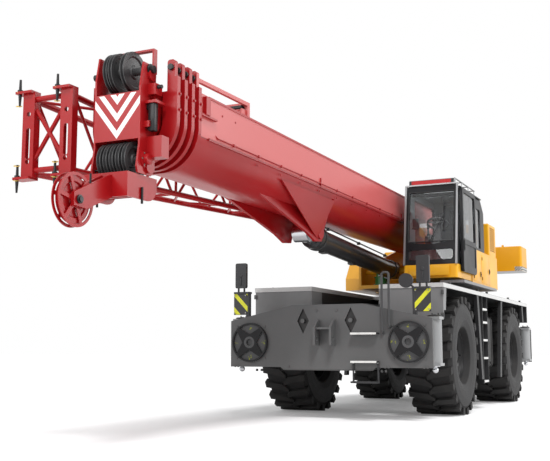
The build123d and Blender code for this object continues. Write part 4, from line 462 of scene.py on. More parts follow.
studs = [((x * 0.7071 + y * lean) / stud_pitch).fract().within(0.30, 0.70) for lean in (0.7071, -0.7071)]
tread = studs[0] * studs[1] * on_top
deck_grey.feed(Base_Color=(walked * 0.5).mix(deck_tone, (0.19, 0.185, 0.175)), Coat_Weight=(1 - walked) * 0.06,
               Roughness=fine * 0.15 + walked * 0.2 + 0.38, Normal=(tread + fine * 0.1).bump(0.003, 0.6))
deck_grey.on("deck")

deck_fittings = Form("deck_fittings")
for side in (-1, 1):
    for place in (0.45, 2.35, 3.10, 5.05, 6.30):
        # lifting lug near the deck's edge
        deck_fittings.slab((side * 1.515, place, deck_top + 0.006), (0.030, 0.05, 0.006), 0.004)
        deck_fittings.turned((side * 1.515, place, deck_top + 0.012), (0, 0, 1),
                             [(0, 0.018), (0.012, 0.018), (0.018, 0.024), (0.030, 0.024), (0.034, 0.019)], 14)
    # hinge blocks of the front corner flap
    for high in (1.50, 1.84):
        deck_fittings.slab((side * 1.555, -0.1325, high + 0.035), (0.022, 0.0075, 0.035), 0.004)
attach(deck_fittings.made(carrier_grey), "carrier")
screw_row("deck_screws", [(side * 1.45, 0.60 + 0.62 * k, deck_top + 0.003) for side in (-1, 1) for k in range(10)]
          + [(side * 0.66, 0.30 + 1.1 * k, deck_top + 0.003) for side in (-1, 1) for k in range(6)],
          (0, 0, 1), zinc, "carrier", 0.012, 0.012, 0.018)

# ======== side tanks
# Fuel tank on the left and hydraulic oil tank on the right: folded steel boxes with rounded corners, hung
# on two straps each, painted black, with a screwed filler cap and a drain plug.
gloss_black = paint("gloss_black", (0.010, 0.010, 0.011), 0.40, 0.12, 0.08)
gloss_black.on("side_tanks")
tank_low, tank_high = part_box("side_tanks")
tank_middle = (tank_low.y + tank_high.y) / 2
sides = (("left", 1), ("right", -1))
for label, side in sides:
    fittings = Form(f"tank_fittings_{label}")
    face = side * tank_high.x
    fittings.turned((face - side * 0.17, tank_middle - 0.18, tank_high.z - 0.006), (0, 0, 1),
                    [(0, 0.055), (0.02, 0.055), (0.022, 0.072), (0.052, 0.072), (0.060, 0.062)], 24)
    fittings.turned((face - side * 0.002, tank_middle + 0.36, tank_low.z + 0.10), (side, 0, 0),
                    [(0, 0.030), (0.006, 0.030), (0.008, 0.019), (0.024, 0.019)], 6)
    # guard of the sight gauge
    fittings.block((face - side * 0.004, tank_middle + 0.178, tank_low.z + 0.42),
                   (face + side * 0.016, tank_middle + 0.222, tank_high.z - 0.16), 0.006)
    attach(fittings.made(gloss_black), "carrier")

# ======== axles and drive line
# Two planetary steering axles, cast iron, painted black, with a differential between them and the transfer
# case; a cardan shaft runs to each. The covers are held by rings of screws.
front_axle_y, rear_axle_y, axle_z = 1.090, 5.240, 0.935
cast_black = Finish("cast_black", Specular_IOR_Level=0.3)
grain = cast_black.noise(85.0)
stain = cast_black.noise(6.0, 5.0)
cast_black.feed(Base_Color=stain.ramp(0.48, 0.78).mix((0.020, 0.020, 0.021), (0.075, 0.066, 0.055)),
                Roughness=stain * 0.25 + 0.42, Normal=grain.bump(0.0015, 0.55))
cast_black.on("axles", "drive_line", "knuckle_fl", "knuckle_fr", "knuckle_rl", "knuckle_rr")
for label, axle_y in (("front", front_axle_y), ("rear", rear_axle_y)):
    screw_row(f"{label}_axle_screws", ring_of(12, 0.150, (0, axle_y - 0.237, axle_z), "Y"),
              (0, -1, 0), zinc, "carrier", 0.011, 0.014, 0.016)

# ======== tyres and rims
# Earthmover tyres of black rubber, moulded with chevron lugs and ribbed walls, each on a five-piece steel
# rim with a lock ring. The rim is held by wheel nuts and the planetary hub's cover by smaller screws.
tyre_rubber = Finish("tyre_rubber", Specular_IOR_Level=0.2)
x, y, z = tyre_rubber.axes()
behind = y > 3.2                                   # at the rear axle
across = y - (behind * (rear_axle_y - front_axle_y) + front_axle_y)
up = z - axle_z
reach = (across * across + up * up).root()
wall_zone = reach.within(0.47, 0.80)
rings = ((reach / 0.030).fract() > 0.80) * wall_zone
mould = tyre_rubber.noise(26.0, 4.0)
dust = tyre_rubber.noise(4.5, 6.0).ramp(0.40, 0.85)
rubber_tone = mould.mix((0.012, 0.012, 0.013), (0.024, 0.023, 0.023))
rubber_tone = ((reach > 0.905) * 0.4).mix(rubber_tone, (0.030, 0.029, 0.028))
rubber_tone = (wall_zone * 0.6).mix(rubber_tone, (0.050, 0.050, 0.051))
tyre_rubber.feed(Base_Color=(dust * 0.22).mix(rubber_tone, (0.090, 0.085, 0.078)),
                 Roughness=mould * 0.16 + dust * 0.14 + 0.56, Normal=(rings + mould * 0.35).bump(0.004, 0.7))
rim_black = Finish("rim_black", Coat_Roughness=0.15, Specular_IOR_Level=0.2)
chips = rim_black.noise(22.0, 6.0).ramp(0.66, 0.72)
dusty = rim_black.noise(5.0, 4.0)
rim_black.feed(Base_Color=(dusty * 0.07 + chips * 0.3).mix((0.006, 0.006, 0.007), (0.13, 0.12, 0.11)),
               Roughness=dusty * 0.25 + 0.36, Coat_Weight=(1 - chips) * 0.10,
               Normal=(chips * -1 + dusty).bump(0.0008, 0.5))
hub_cover_x = 1.417
for corner, side, axle_y in (("fl", 1, front_axle_y), ("fr", -1, front_axle_y),
                             ("rl", 1, rear_axle_y), ("rr", -1, rear_axle_y)):
    tyre_rubber.on(f"tyre_{corner}")
    rim_black.on(f"rim_{corner}")
    screw_row(f"hub_screws_{corner}", ring_of(10, 0.118, (side * hub_cover_x, axle_y, axle_z), "X"),
              (side, 0, 0), zinc, f"wheel_{corner}", 0.009, 0.012, 0.013)
    valve = Form(f"valve_{corner}")
    valve.rod((side * 1.36, axle_y + 0.33, axle_z), (side * 1.435, axle_y + 0.30, axle_z), 0.009, 10)
    valve.slab((side * 1.375, axle_y + 0.3225, axle_z), (0.010, 0.0225, 0.020), 0.003)
    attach(valve.made(rim_black), f"wheel_{corner}")

# ======== outrigger beams, jacks and floats
# Four box beams slide out of the outrigger boxes, each with a hydraulic jack in a tube welded to its end.
# The beams are painted steel; the jack legs are ground and hard chromed, and end in a ball for the float.
jack_x, tube_starts_x = 1.5, 1.392
beam_grey = Finish("beam_grey", Coat_Roughness=0.15, Specular_IOR_Level=0.3)
x, y, z = beam_grey.axes()
scuff = beam_grey.noise(9.0, 6.0)
tube = abs(x) > tube_starts_x
slid = (abs(x) < tube_starts_x) * scuff.ramp(0.55, 0.72)
beam_tone = tube.mix((0.070, 0.071, 0.073), (0.30, 0.305, 0.31))
beam_grey.feed(Base_Color=(slid * 0.6).mix(beam_tone, (0.23, 0.22, 0.21)), Metallic=slid * 0.5,
               Roughness=scuff * 0.2 + 0.28, Coat_Weight=tube * 0.3, Normal=scuff.bump(0.0008, 0.4))
chrome = speckled("hard_chrome", 55.0, (0.55, 0.56, 0.58), (0.72, 0.73, 0.75), (0.12, 0.12), 2.0, (0.0003, 0.3),
                  Metallic=1.0)
for corner, side, jack_y in (("fl", 1, -0.410), ("fr", -1, -0.700), ("rl", 1, 6.885), ("rr", -1, 6.595)):
    beam_grey.on(f"outrigger_beam_{corner}")
    chrome.on(f"jack_leg_{corner}")
    # cap of the jack's tube with its two hose ports
    cap = Form(f"jack_cap_{corner}")
    cap.turned((side * jack_x, jack_y, 1.498), (0, 0, 1),
               [(0, 0.103), (0.016, 0.103), (0.026, 0.088), (0.026, 0.03), (0.034, 0.03)], 24)
    for turn in (0.6, 2.4):
        cap.turned((side * jack_x + 0.06 * cos(turn), jack_y + 0.06 * sin(turn), 1.520), (0, 0, 1),
                   [(0, 0.014), (0.018, 0.014), (0.020, 0.009), (0.034, 0.009)], 10)
    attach(cap.made(gloss_black), f"beam_{corner}")
    screw_row(f"jack_screws_{corner}", ring_of(6, 0.084, (side * jack_x, jack_y, 1.522), "Z", 0.3),
              (0, 0, 1), zinc, f"beam_{corner}", 0.007, 0.010, 0.009)

# Stowed floats: round cast pads with four raised ribs, hung on the outer plates; dark grey, with paler pockets.
float_grey = Finish("float_grey", Specular_IOR_Level=0.2)
x, y, z = float_grey.axes()
side_x, side_z = abs(x) - float_x, z - float_z
out = (side_x * side_x + side_z * side_z).root()
proud = (y < -0.93) + (y > 7.115)
soot = float_grey.noise(14.0, 4.0)
float_tone = (proud * (out > 0.088)).mix((0.080, 0.081, 0.083), (0.012, 0.012, 0.013))
# paint dabs at the top, foot and both sides of each pad, where the ribs meet the rim
dab = float_grey.noise(34.0).ramp(0.54, 0.60)
cross = (abs(side_x) < 0.028) + (abs(side_z) < 0.028)
dabs = dab * (cross > 0.5) * out.within(0.19, 0.265) * (1 - proud)
float_tone = dabs.mix(float_tone, (0.30, 0.32, 0.02))
float_tone = ((out > 0.272) * 0.9).mix(float_tone, (0.022, 0.022, 0.023))
float_grey.feed(Base_Color=float_tone, Roughness=soot * 0.25 + 0.40, Normal=soot.bump(0.001, 0.4))
float_grey.on("stowed_floats")

# ======== steps and ladders
# Way up at the front left and at both sides between the wheels: bent round bar and folded treads, painted,
# with white anti-slip treads so that a boot finds them.
worn_tread = (0.30, 0.29, 0.27)                    # where boots have worn the white away
step_grey = Finish("step_grey", Specular_IOR_Level=0.3)
x, y, z = step_grey.axes()
grit = step_grey.noise(260.0, 2.0)
worn = step_grey.noise(12.0, 5.0).ramp(0.50, 0.75)
treads = x.within(0.412, 0.806) * (z.within(0.828, 0.872) + z.within(1.228, 1.278))
bar_tone = ((z > 0.90) * (x > 0.86)).mix((0.032, 0.032, 0.034), (0.060, 0.061, 0.063))
step_tone = treads.mix(bar_tone, (0.72, 0.72, 0.70))
step_grey.feed(Base_Color=(worn * treads * 0.35).mix(step_tone, worn_tread), Roughness=worn * 0.2 + 0.42,
               Normal=(grit * treads + worn * 0.2).bump(0.0015, 0.6))
step_grey.on("front_steps")
ladder_white = Finish("ladder_white", Specular_IOR_Level=0.3)
x, y, z = ladder_white.axes()
grit = ladder_white.noise(240.0, 2.0)
worn = ladder_white.noise(10.0, 5.0).ramp(0.5, 0.75)
rungs = y.within(2.520, 2.850)
ladder_tone = rungs.mix((0.026, 0.026, 0.027), (0.70, 0.70, 0.69))
ladder_white.feed(Base_Color=(worn * rungs * 0.35).mix(ladder_tone, worn_tread), Roughness=worn * 0.2 + 0.4,
                  Normal=(grit * rungs).bump(0.0012, 0.5))
ladder_white.on("ladders")

# ======== mirrors and marker boards
# Bent steel stands at both front corners carry a yellow and black width board, a long mirror on each side
# and one round mirror at the left. Black plastic housings, silvered glass, retro-reflecting board.
stand_x, board_x = 1.46, 1.455
stand_black = Finish("stand_black", Coat_Roughness=0.2, Specular_IOR_Level=0.3)
x, y, z = stand_black.axes()
fine = stand_black.noise(60.0)
board = z.within(1.565, 1.885) * abs(x).within(1.338, 1.573) * (y < -0.775)
leaning = ((z - abs(x) * 1.05 + 0.05) / 0.25).fract() < 0.34
stand_tone = fine.mix((0.028, 0.029, 0.031), (0.042, 0.043, 0.045))
board_tone = leaning.mix((0.022, 0.022, 0.023), (0.66, 0.66, 0.02))
stand_black.feed(Base_Color=board.mix(stand_tone, board_tone), Roughness=fine * 0.15 + 0.34,
                 Coat_Weight=board * 0.5, Normal=fine.bump(0.0006, 0.4))
stand_black.on("mirrors")
silvered = speckled("silvered_glass", 8.0, (0.62, 0.65, 0.68), (0.74, 0.77, 0.80), (0.05, 0.03), Metallic=1.0)
mirror_faces, mirror_back = Form("mirror_faces"), Form("mirror_backs")
for side in (-1, 1):
    mirror_faces.slab((side * stand_x, -0.7845, 2.170), (0.080, 0.002, 0.170), 0.0015)
    # moulded boss and clamp on the housing's front
    mirror_back.turned((side * stand_x, -0.834, 2.170), (0, -1, 0), [(0, 0.030), (0.006, 0.030), (0.012, 0.022)], 20)
    mirror_back.slab((side * stand_x, -0.840, 2.0775), (0.014, 0.006, 0.0575), 0.004)
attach(mirror_faces.made(silvered), "carrier")
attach(mirror_back.made(stand_black), "carrier")
screw_row("board_screws", [(side * board_x + dx, -0.868, z) for side in (-1, 1) for dx in (-0.095, 0.095)
                           for z in (1.59, 1.86)], (0, -1, 0), zinc, "carrier", 0.007, 0.008, 0.010)

# ======== tail lamps
# Two moulded lamp blocks in the rear plate, red towards the outside and amber inside, with ribbed lenses.
lens = Finish("ribbed_lens", Coat_Weight=0.8, Coat_Roughness=0.05)
x, y, z = lens.axes()
ribs = (x * 380.0).wave()
lens.feed(Base_Color=(abs(x) > 0.84).mix((0.80, 0.23, 0.01), (0.50, 0.01, 0.012)), Roughness=ribs * 0.12 + 0.12,
          Normal=ribs.bump(0.002, 0.6))
lens.on("lamps")
lamp_rims = Form("lamp_rims")
for side in (-1, 1):
    for left, low, right, high in ((-0.103, 0.820, 0.103, 0.829), (-0.103, 0.931, 0.103, 0.940),
                                   (-0.103, 0.820, -0.092, 0.940), (0.092, 0.820, 0.103, 0.940)):
        lamp_rims.block((side * 0.83 + left, 7.071, low), (side * 0.83 + right, 7.096, high), 0.002)
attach(lamp_rims.made(gloss_black), "carrier")

# ======== slewing ring, turntable and slew drive
# The upper works turn on a toothed ball race screwed down to the frame. The turntable is two profiled cheek
# plates welded on a round base plate, painted yellow; a small hydraulic motor turns it through a gearbox.
slew_y, table_top = 3.690, 2.170
foot_y, foot_z = 4.940, 3.060                      # boom's foot pin
lift_y, lift_z = 2.290, 2.440                      # lifting cylinder's lower pin
drive_x, drive_y = -0.22, 2.330
ring_steel = Finish("ring_steel")
grease = ring_steel.noise(7.0, 6.0).ramp(0.40, 0.66)
ring_steel.feed(Base_Color=grease.mix((0.060, 0.060, 0.062), (0.016, 0.014, 0.012)), Metallic=(1 - grease) * 0.6,
                Roughness=grease * -0.2 + 0.48, Normal=grease.bump(0.0015, 0.5))
ring_steel.on("slew_ring")
machine_yellow = paint("machine_yellow", (0.78, 0.385, 0.014), 0.36, 0.18, 0.03, marks=[
    # painted shade: the recess behind the louvres' slots is painted black
    (lambda x, y, z: x.within(1.36, 1.498) * y.within(3.470, 3.920) * z.within(2.80, 3.34), (0.010, 0.009, 0.008)),
    # painted shade: the right body, on the side away from the light, is painted a darker tan yellow
    (lambda x, y, z: (x < -0.60) * y.within(3.2, 5.3) * 0.65, (0.58, 0.30, 0.040)),
])
machine_yellow.on("turntable", "side_bodies")
screw_row("slew_ring_screws", ring_of(36, 0.700, (0, slew_y, table_top + 0.006), "Z"),
          (0, 0, 1), zinc, "superstructure", 0.014, 0.018, 0.019)
pins = ((foot_y, foot_z, 0.100), (lift_y, lift_z, 0.088))
pin_caps = Form("foot_pin_caps")
for side in (-1, 1):
    for pin_y, pin_z, cap in pins:
        pin_caps.turned((side * 0.529, pin_y, pin_z), (side, 0, 0),
                        [(0, cap), (0.010, cap), (0.018, cap - 0.010), (0.018, 0.02)], 26)
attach(pin_caps.made(gloss_black), "superstructure")
for label, side in sides:
    screw_row(f"pin_cap_screws_{label}", [p for pin_y, pin_z, cap in pins
                                          for p in ring_of(4, cap - 0.030, (side * 0.549, pin_y, pin_z), "X", pi / 4)],
              (side, 0, 0), zinc, "superstructure", 0.009, 0.010, 0.012)

motor_green = paint("motor_green", (0.035, 0.19, 0.055), 0.32, 0.4, 0.0)
slew_drive = Form("slew_drive")
slew_drive.turned((drive_x, drive_y, table_top - 0.002), (0, 0, 1),
                  [(0, 0.150), (0.030, 0.150), (0.032, 0.118), (0.150, 0.118), (0.152, 0.135), (0.172, 0.135),
                   (0.174, 0.096), (0.250, 0.096), (0.252, 0.108), (0.268, 0.108), (0.270, 0.070), (0.340, 0.064)], 32)
slew_drive.slab((drive_x, drive_y - 0.048, table_top + 0.310), (0.080, 0.020, 0.025), 0.008)
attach(slew_drive.made(motor_green), "superstructure")
screw_row("slew_drive_screws", ring_of(10, 0.134, (drive_x, drive_y, table_top + 0.032), "Z"),
          (0, 0, 1), zinc, "superstructure", 0.009, 0.012, 0.012)

# ======== lifting cylinder
# One double-acting hydraulic cylinder lifts the boom. The honed tube is painted black, the rod is ground and
# hard chromed, and a steel pipe runs along the tube to the rod end, held by clips.
cylinder_black = paint("cylinder_black", (0.020, 0.020, 0.021), 0.30, 0.5, 0.0)
cylinder_black.on("lift_barrel")
chrome.on("lift_rod")
foot, head = Vector((0, lift_y, lift_z)), Vector((0, -1.760, 2.660))
along, across = (head - foot).normalized(), Vector((1, 0, 0))
upward = along.cross(across).normalized()
pipe_side = upward * 0.186 + across * 0.075
start, end = foot + along * 0.55 + pipe_side, foot + along * 3.40 + pipe_side
cylinder_pipe = Form("cylinder_pipe").rod(start, end, 0.011, 12)
for share in (0.04, 0.5, 0.96):
    cylinder_pipe.slab(start.lerp(end, share) - Vector((0, 0, 0.007)), (0.024, 0.020, 0.023), 0.004)
cylinder_pipe.turned(foot + along * 3.52, along, [(0, 0.1705), (0.004, 0.184), (0.060, 0.184), (0.066, 0.176)], 36)
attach(cylinder_pipe.made(cylinder_black), "lift_barrel")
sideways = along.cross(upward)
screw_row("gland_screws", [foot + along * 3.590 + (upward * cos(t) + sideways * sin(t)) * 0.150
                           for t in (pi * k / 5 for k in range(10))],
          tuple(along), zinc, "lift_barrel", 0.010, 0.014, 0.012)

# ======== winches
# Main and auxiliary winch lie between the cheeks behind the boom: flanged steel drums, painted black, wound
# full with galvanised wire rope that lies turn beside turn.
gloss_black.on("winches")
drum_half, rope_half = 0.424, 0.009
winding = Tree("rope_turns", Turns="Float", Radius="Float", Width="Float", Rope="Float", Centre="Vector",
               Finish="Material")
spiral = winding.node("GeometryNodeCurveSpiral", Resolution=26, Rotations="Turns", Start_Radius="Radius",
                      End_Radius="Radius", Height="Width")
profile = winding.node("GeometryNodeCurvePrimitiveCircle", Resolution=7, Radius="Rope")
wound = winding.node("GeometryNodeCurveToMesh", Curve=spiral, Profile_Curve=profile, Fill_Caps=True)
winding.ends(winding.node("GeometryNodeTransform", Geometry=wound, Translation="Centre", Rotation=(0, pi / 2, 0)))
wire_rope = Finish("wire_rope", Metallic=0.7)
x, y, z = wire_rope.axes()
strand = (x * 260.0 + (y + z) * 420.0).wave()
oil = wire_rope.noise(18.0, 4.0)
wire_rope.feed(Base_Color=oil.ramp(0.35, 0.70).mix((0.28, 0.27, 0.25), (0.085, 0.075, 0.060)),
               Roughness=oil * 0.25 + 0.30, Normal=strand.bump(0.0015, 0.8))
for label, drum_y, drum_z, flange in (("main", 5.540, 2.700, 0.250), ("second", 6.080, 2.840, 0.225)):
    rope = winding.made(f"rope_on_{label}_drum", [(0, 0, 0)], wire_rope, Turns=float(int(drum_half / rope_half)),
                        Radius=flange - 0.055 + rope_half, Width=2 * drum_half, Rope=rope_half,
                        Centre=(-drum_half, drum_y, drum_z))
    rope.data.shade_smooth()
    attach(rope, "superstructure")

# ======== counterweight
# One cast block screwed to the turntable's tail, painted the deeper yellow, with two lifting eyes on its top
# and a small black and white width mark low on each outer corner.
weight_low, weight_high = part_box("counterweight")
cast_yellow = Finish("cast_yellow", Coat_Roughness=0.15, Specular_IOR_Level=0.3)
x, y, z = cast_yellow.axes()
skin = cast_yellow.noise(30.0, 4.0)
mark = (abs(x) > 1.405) * (z < 2.815) * (z > 2.725)
bars = ((abs(x) - z) / 0.055).fract() < 0.5
weight_tone = cast_yellow.noise(1.5).ramp(0.35, 0.65).mix((0.66, 0.310, 0.004), (0.73, 0.345, 0.006))
weight_tone = (z < 2.7225).mix(weight_tone, (0.30, 0.30, 0.30))
mark_tone = bars.mix((0.55, 0.55, 0.53), (0.015, 0.015, 0.015))
cast_yellow.feed(Base_Color=mark.mix(weight_tone, mark_tone), Roughness=skin * 0.14 + 0.30,
                 Coat_Weight=(1 - mark) * 0.12, Normal=skin.bump(0.0012, 0.45))
cast_yellow.on("counterweight")
screw_row("counterweight_screws", [(x, y, weight_low.z - 0.004) for x in (-0.51, 0.51) for y in (6.60, 6.80)],
          (0, 0, -1), zinc, "superstructure", 0.024, 0.022, 0.034)
plugs = Form("counterweight_plugs")
for x in (-0.78, 0.78):
    plugs.turned((x, weight_high.y - 0.001, 2.99), (0, 1, 0), [(-0.01, 0.050), (0.0, 0.050), (0.0005, 0.044)], 22)
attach(plugs.made(cast_yellow), "superstructure")

# ======== side bodies
# Sheet-steel cabinets on both sides of the turntable: under and behind the cab at the left, with a louvred
# cooler box, and a valve cabinet at the right. Folded, spot welded, painted, with flush hinged doors.
left_face, right_face = 1.537, -1.306
body_doors = Form("body_doors")
for low, high in (((left_face - 0.006, 2.03, 2.195), (left_face, 2.62, 2.52)),
                  ((left_face - 0.006, 2.66, 2.195), (left_face, 3.34, 2.70)),
                  ((right_face, 3.66, 2.215), (right_face + 0.006, 4.40, 2.71)),
                  ((right_face, 4.44, 2.215), (right_face + 0.006, 5.18, 2.71)),
                  ((0.74, 0.889, 2.215), (1.40, 0.897, 2.385))):
    body_doors.block(low, high, 0.002)
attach(body_doors.made(machine_yellow), "superstructure")
door_locks = Form("body_door_locks")
for face, outward, lock_y, lock_z in ((left_face, 1, 2.56, 2.34), (left_face, 1, 3.28, 2.44),
                                      (right_face, -1, 4.34, 2.46), (right_face, -1, 4.50, 2.46)):
    door_locks.slab((face + outward * 0.0045, lock_y, lock_z), (outward * 0.0055, 0.026, 0.045), 0.004)
    door_locks.turned((face + outward * 0.009, lock_y, lock_z), (outward, 0, 0),
                      [(0, 0.013), (0.006, 0.013), (0.008, 0.010)], 16)
for hinge_y, low in ((2.05, 2.24), (2.05, 2.45), (2.68, 2.25), (2.68, 2.60)):
    door_locks.rod((1.540, hinge_y, low), (1.540, hinge_y, low + 0.055), 0.008, 10)
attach(door_locks.made(gloss_black), "superstructure")
# the small red side lamp in its bent guard, at the rear end of the ledge
guard = Form("side_lamp_guard")
bend = [(1.515, 3.56 + 0.11 * sin(t), 2.20 + 0.085 * (1 - cos(t))) for t in (pi * k / 10 for k in range(11))]
for first, last in zip(bend, bend[1:]):
    guard.rod(first, last, 0.016, 12)
guard.block((1.44, 3.545, 2.150), (1.53, 3.70, 2.182), 0.005)
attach(guard.made(gloss_black), "superstructure")
red_lens = Finish("red_lens", Coat_Weight=0.7)
x, y, z = red_lens.axes()
ribs = ((y + z) * 500.0).wave()
red_lens.feed(Base_Color=ribs.mix((0.42, 0.006, 0.010), (0.62, 0.020, 0.022)), Roughness=ribs * 0.1 + 0.15,
              Normal=ribs.bump(0.0015, 0.5))
side_lamp = Form("side_lamp").turned((1.485, 3.61, 2.262), (1, 0, 0),
                                     [(0, 0.044), (0.018, 0.044), (0.032, 0.034), (0.036, 0.012)], 24)
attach(side_lamp.made(red_lens), "superstructure")

# ======== cab shell
# Welded steel profile cab, gloss black, with a forward-leaning screen. Rubber seals hold the panes, and
# bright trim runs up both edges of the screen; a rail guards the roof.
screen_foot_y, screen_foot_z, screen_lean = 0.970, 2.400, 0.200 / 1.340
seal_left, seal_right, seal_low, seal_high = 0.690, 1.450, 2.785, 3.632
cab_black = Finish("cab_black", Coat_Roughness=0.08, Specular_IOR_Level=0.12)
x, y, z = cab_black.axes()
fine = cab_black.noise(45.0)
film = cab_black.noise(2.6, 5.0).ramp(0.35, 0.8)
lining = x.within(0.672, 1.468) * y.within(1.02, 2.925) * z.within(2.485, 3.692) * (y > 1.045 + (z - 2.4) * 0.149)
shell_tone = film.mix((0.009, 0.0095, 0.0105), (0.018, 0.019, 0.021))
cab_black.feed(Base_Color=lining.mix(shell_tone, (0.34, 0.345, 0.35)), Coat_Weight=(1 - film) * 0.07 + 0.02,
               Roughness=fine * 0.1 + film * 0.1 + 0.24, Normal=fine.bump(0.0006, 0.35))
cab_black.on("cab_shell", "cab_door")
rail_silver = Finish("rail_silver", Metallic=0.55)
x, y, z = rail_silver.axes()
fine = rail_silver.noise(70.0)
rail_tone = fine.mix((0.21, 0.215, 0.22), (0.31, 0.315, 0.32))
rail_silver.feed(Base_Color=((z < 2.17) * 0.6).mix(rail_tone, (0.20, 0.20, 0.205)),      # duller on the ledge
                 Roughness=fine * 0.2 + 0.22, Normal=fine.bump(0.0006, 0.4))
rail_silver.on("cab_rails")
light_red = Finish("light_bar_red", Specular_IOR_Level=0.25)
x, y, z = light_red.axes()
ends = (x < 0.735) + (x > 1.405)
ribs = (x * 300.0).wave()
light_red.feed(Base_Color=ends.mix(ribs.mix((0.40, 0.006, 0.008), (0.50, 0.014, 0.016)), (0.02, 0.02, 0.02)),
               Roughness=ribs * 0.1 + 0.30, Normal=(ribs * (1 - ends)).bump(0.0012, 0.5))
light_red.on("light_bar")
pane = Finish("tinted_pane", Transmission_Weight=1.0, IOR=1.45)
x, y, z = pane.axes()
smear = pane.noise(3.5, 4.0)
clear_tone = smear.mix((0.82, 0.85, 0.86), (0.88, 0.91, 0.92))
pane.feed(Base_Color=(x > 1.44).mix(clear_tone, (0.40, 0.42, 0.44)), Roughness=smear * 0.02 + 0.01)
pane.on("cab_glass", "cab_door_glass")


def on_screen(x, high, out):
    """A point out from the cab's leaning front face, at a height."""
    return x, screen_foot_y + (high - screen_foot_z) * screen_lean - out, high


wiper = Form("wiper")
wiper.turned(on_screen(1.07, 2.80, 0.002), (0, -1, 0), [(0, 0.026), (0.012, 0.026), (0.018, 0.016)], 18)
wiper.rod(on_screen(1.07, 2.80, 0.012), on_screen(1.285, 3.22, 0.018), 0.006, 8)
wiper.rod(on_screen(1.285, 2.95, 0.012), on_screen(1.285, 3.48, 0.012), 0.007, 8)
# the screen's rubber seal: foot, head and both sides
for x0, z0, x1, z1 in ((seal_left, seal_low, seal_right, seal_low), (seal_left, seal_high, seal_right, seal_high),
                       (seal_left, seal_low, seal_left, seal_high), (seal_right, seal_low, seal_right, seal_high)):
    wiper.rod(on_screen(x0, z0, -0.002), on_screen(x1, z1, -0.002), 0.009, 8)
rubber_black = speckled("seal_rubber", 90.0, (0.012, 0.012, 0.012), (0.024, 0.024, 0.024), (0.2, 0.55),
                        relief=(0.0008, 0.4))
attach(wiper.made(rubber_black), "superstructure")
work_lamps, lamp_glass = Form("roof_work_lamps"), Form("roof_lamp_glasses")
for x in (0.78, 1.36):
    work_lamps.block((x - 0.048, 1.215, 3.742), (x + 0.048, 1.262, 3.815), 0.010)
    lamp_glass.block((x - 0.038, 1.209, 3.752), (x + 0.038, 1.217, 3.805), 0.004)
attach(work_lamps.made(gloss_black), "superstructure")
clear_lens = Finish("clear_lens", Coat_Weight=0.9)
facets = clear_lens.cells(110.0)
clear_lens.feed(Base_Color=facets.mix((0.66, 0.68, 0.70), (0.88, 0.89, 0.90)), Roughness=facets * 0.2 + 0.08,
                Normal=facets.bump(0.001, 0.5))
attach(lamp_glass.made(clear_lens), "superstructure")

# ======== driver's seat and cab fittings
# A sprung driver's seat with foam cushions in black woven cloth, welted at the seams and sewn with cross
# channels, two armrest consoles, a steering column and two small screens on arms. Moulded plastic.
seat_x = 1.070
trim_plastic = Finish("trim_plastic")
leather = trim_plastic.cells(420.0)
cloud = trim_plastic.noise(8.0)
trim_plastic.feed(Base_Color=cloud.mix((0.115, 0.113, 0.116), (0.165, 0.163, 0.166)),
                  Roughness=cloud * 0.15 + 0.42, Normal=leather.bump(0.0008, 0.5))
trim_plastic.on("cab_interior")
seat_cloth = Finish("seat_cloth", Sheen_Weight=0.3)
x, y, z = seat_cloth.axes()
weave = ((x * 1500.0).math("SINE") * ((y + z) * 1500.0).math("SINE")) * 0.5 + 0.5
fade = seat_cloth.noise(6.0, 4.0)
seat_cloth.feed(Base_Color=(weave * 0.5 + fade * 0.5).mix((0.055, 0.055, 0.060), (0.125, 0.125, 0.135)),
                Roughness=fade * 0.1 + 0.80, Normal=weave.bump(0.001, 0.6))


def ridge(value, at, width):
    """1 at a place, falling off smoothly to both sides of it."""
    return 2.718 ** -(((value - at) / width) ** 2)


def cushion(name, middle, size, lean, channels, crown=0.30, round_power=7, bolster_at=0.66):
    """A foam cushion: rounded, crowned on its front side, drawn in at its welts and sewn across in channels.
    Its size is across, along and thick; lean turns it back about the seat's hinge line."""
    mesh = bmesh.new()
    bmesh.ops.create_cube(mesh, size=2.0)
    bmesh.ops.subdivide_edges(mesh, edges=list(mesh.edges), cuts=23, use_grid_fill=True)
    turn = Matrix.Rotation(lean, 3, "X")
    for v in mesh.verts:
        norm = sum(abs(part) ** round_power for part in v.co) ** (1 / round_power)
        u, w, t = v.co / norm
        wide, top = abs(u), max(t, 0)
        plump = (1 - u * u) * (1 - w * w)
        pinch = 1 - 0.05 * (1 - t * t) - 0.03 * (1 - w * w) * wide ** 6
        groove = sum(ridge(w, c, 0.030) for c in channels) * (1 - wide ** 8)
        bolster = (wide > bolster_at) * (1 - wide ** 12)
        depth = t * (1 + crown * plump) + top * (0.16 * (bolster - groove) - 0.14 * ridge(wide, bolster_at, 0.030))
        girth = pinch * (1 + 0.018 * ridge(t, 0, 0.10))
        v.co = Vector(middle) + turn @ Vector((u * size[0] * girth, w * size[1] * girth, depth * size[2]))
    bmesh.ops.recalc_face_normals(mesh, faces=mesh.faces)
    data = bpy.data.meshes.new(name)
    mesh.to_mesh(data)
    mesh.free()
    piece = bpy.data.objects.new(name, data)
    scene.collection.objects.link(piece)
    data.shade_smooth()
    seat_cloth.on(piece)
    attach(piece, "superstructure")


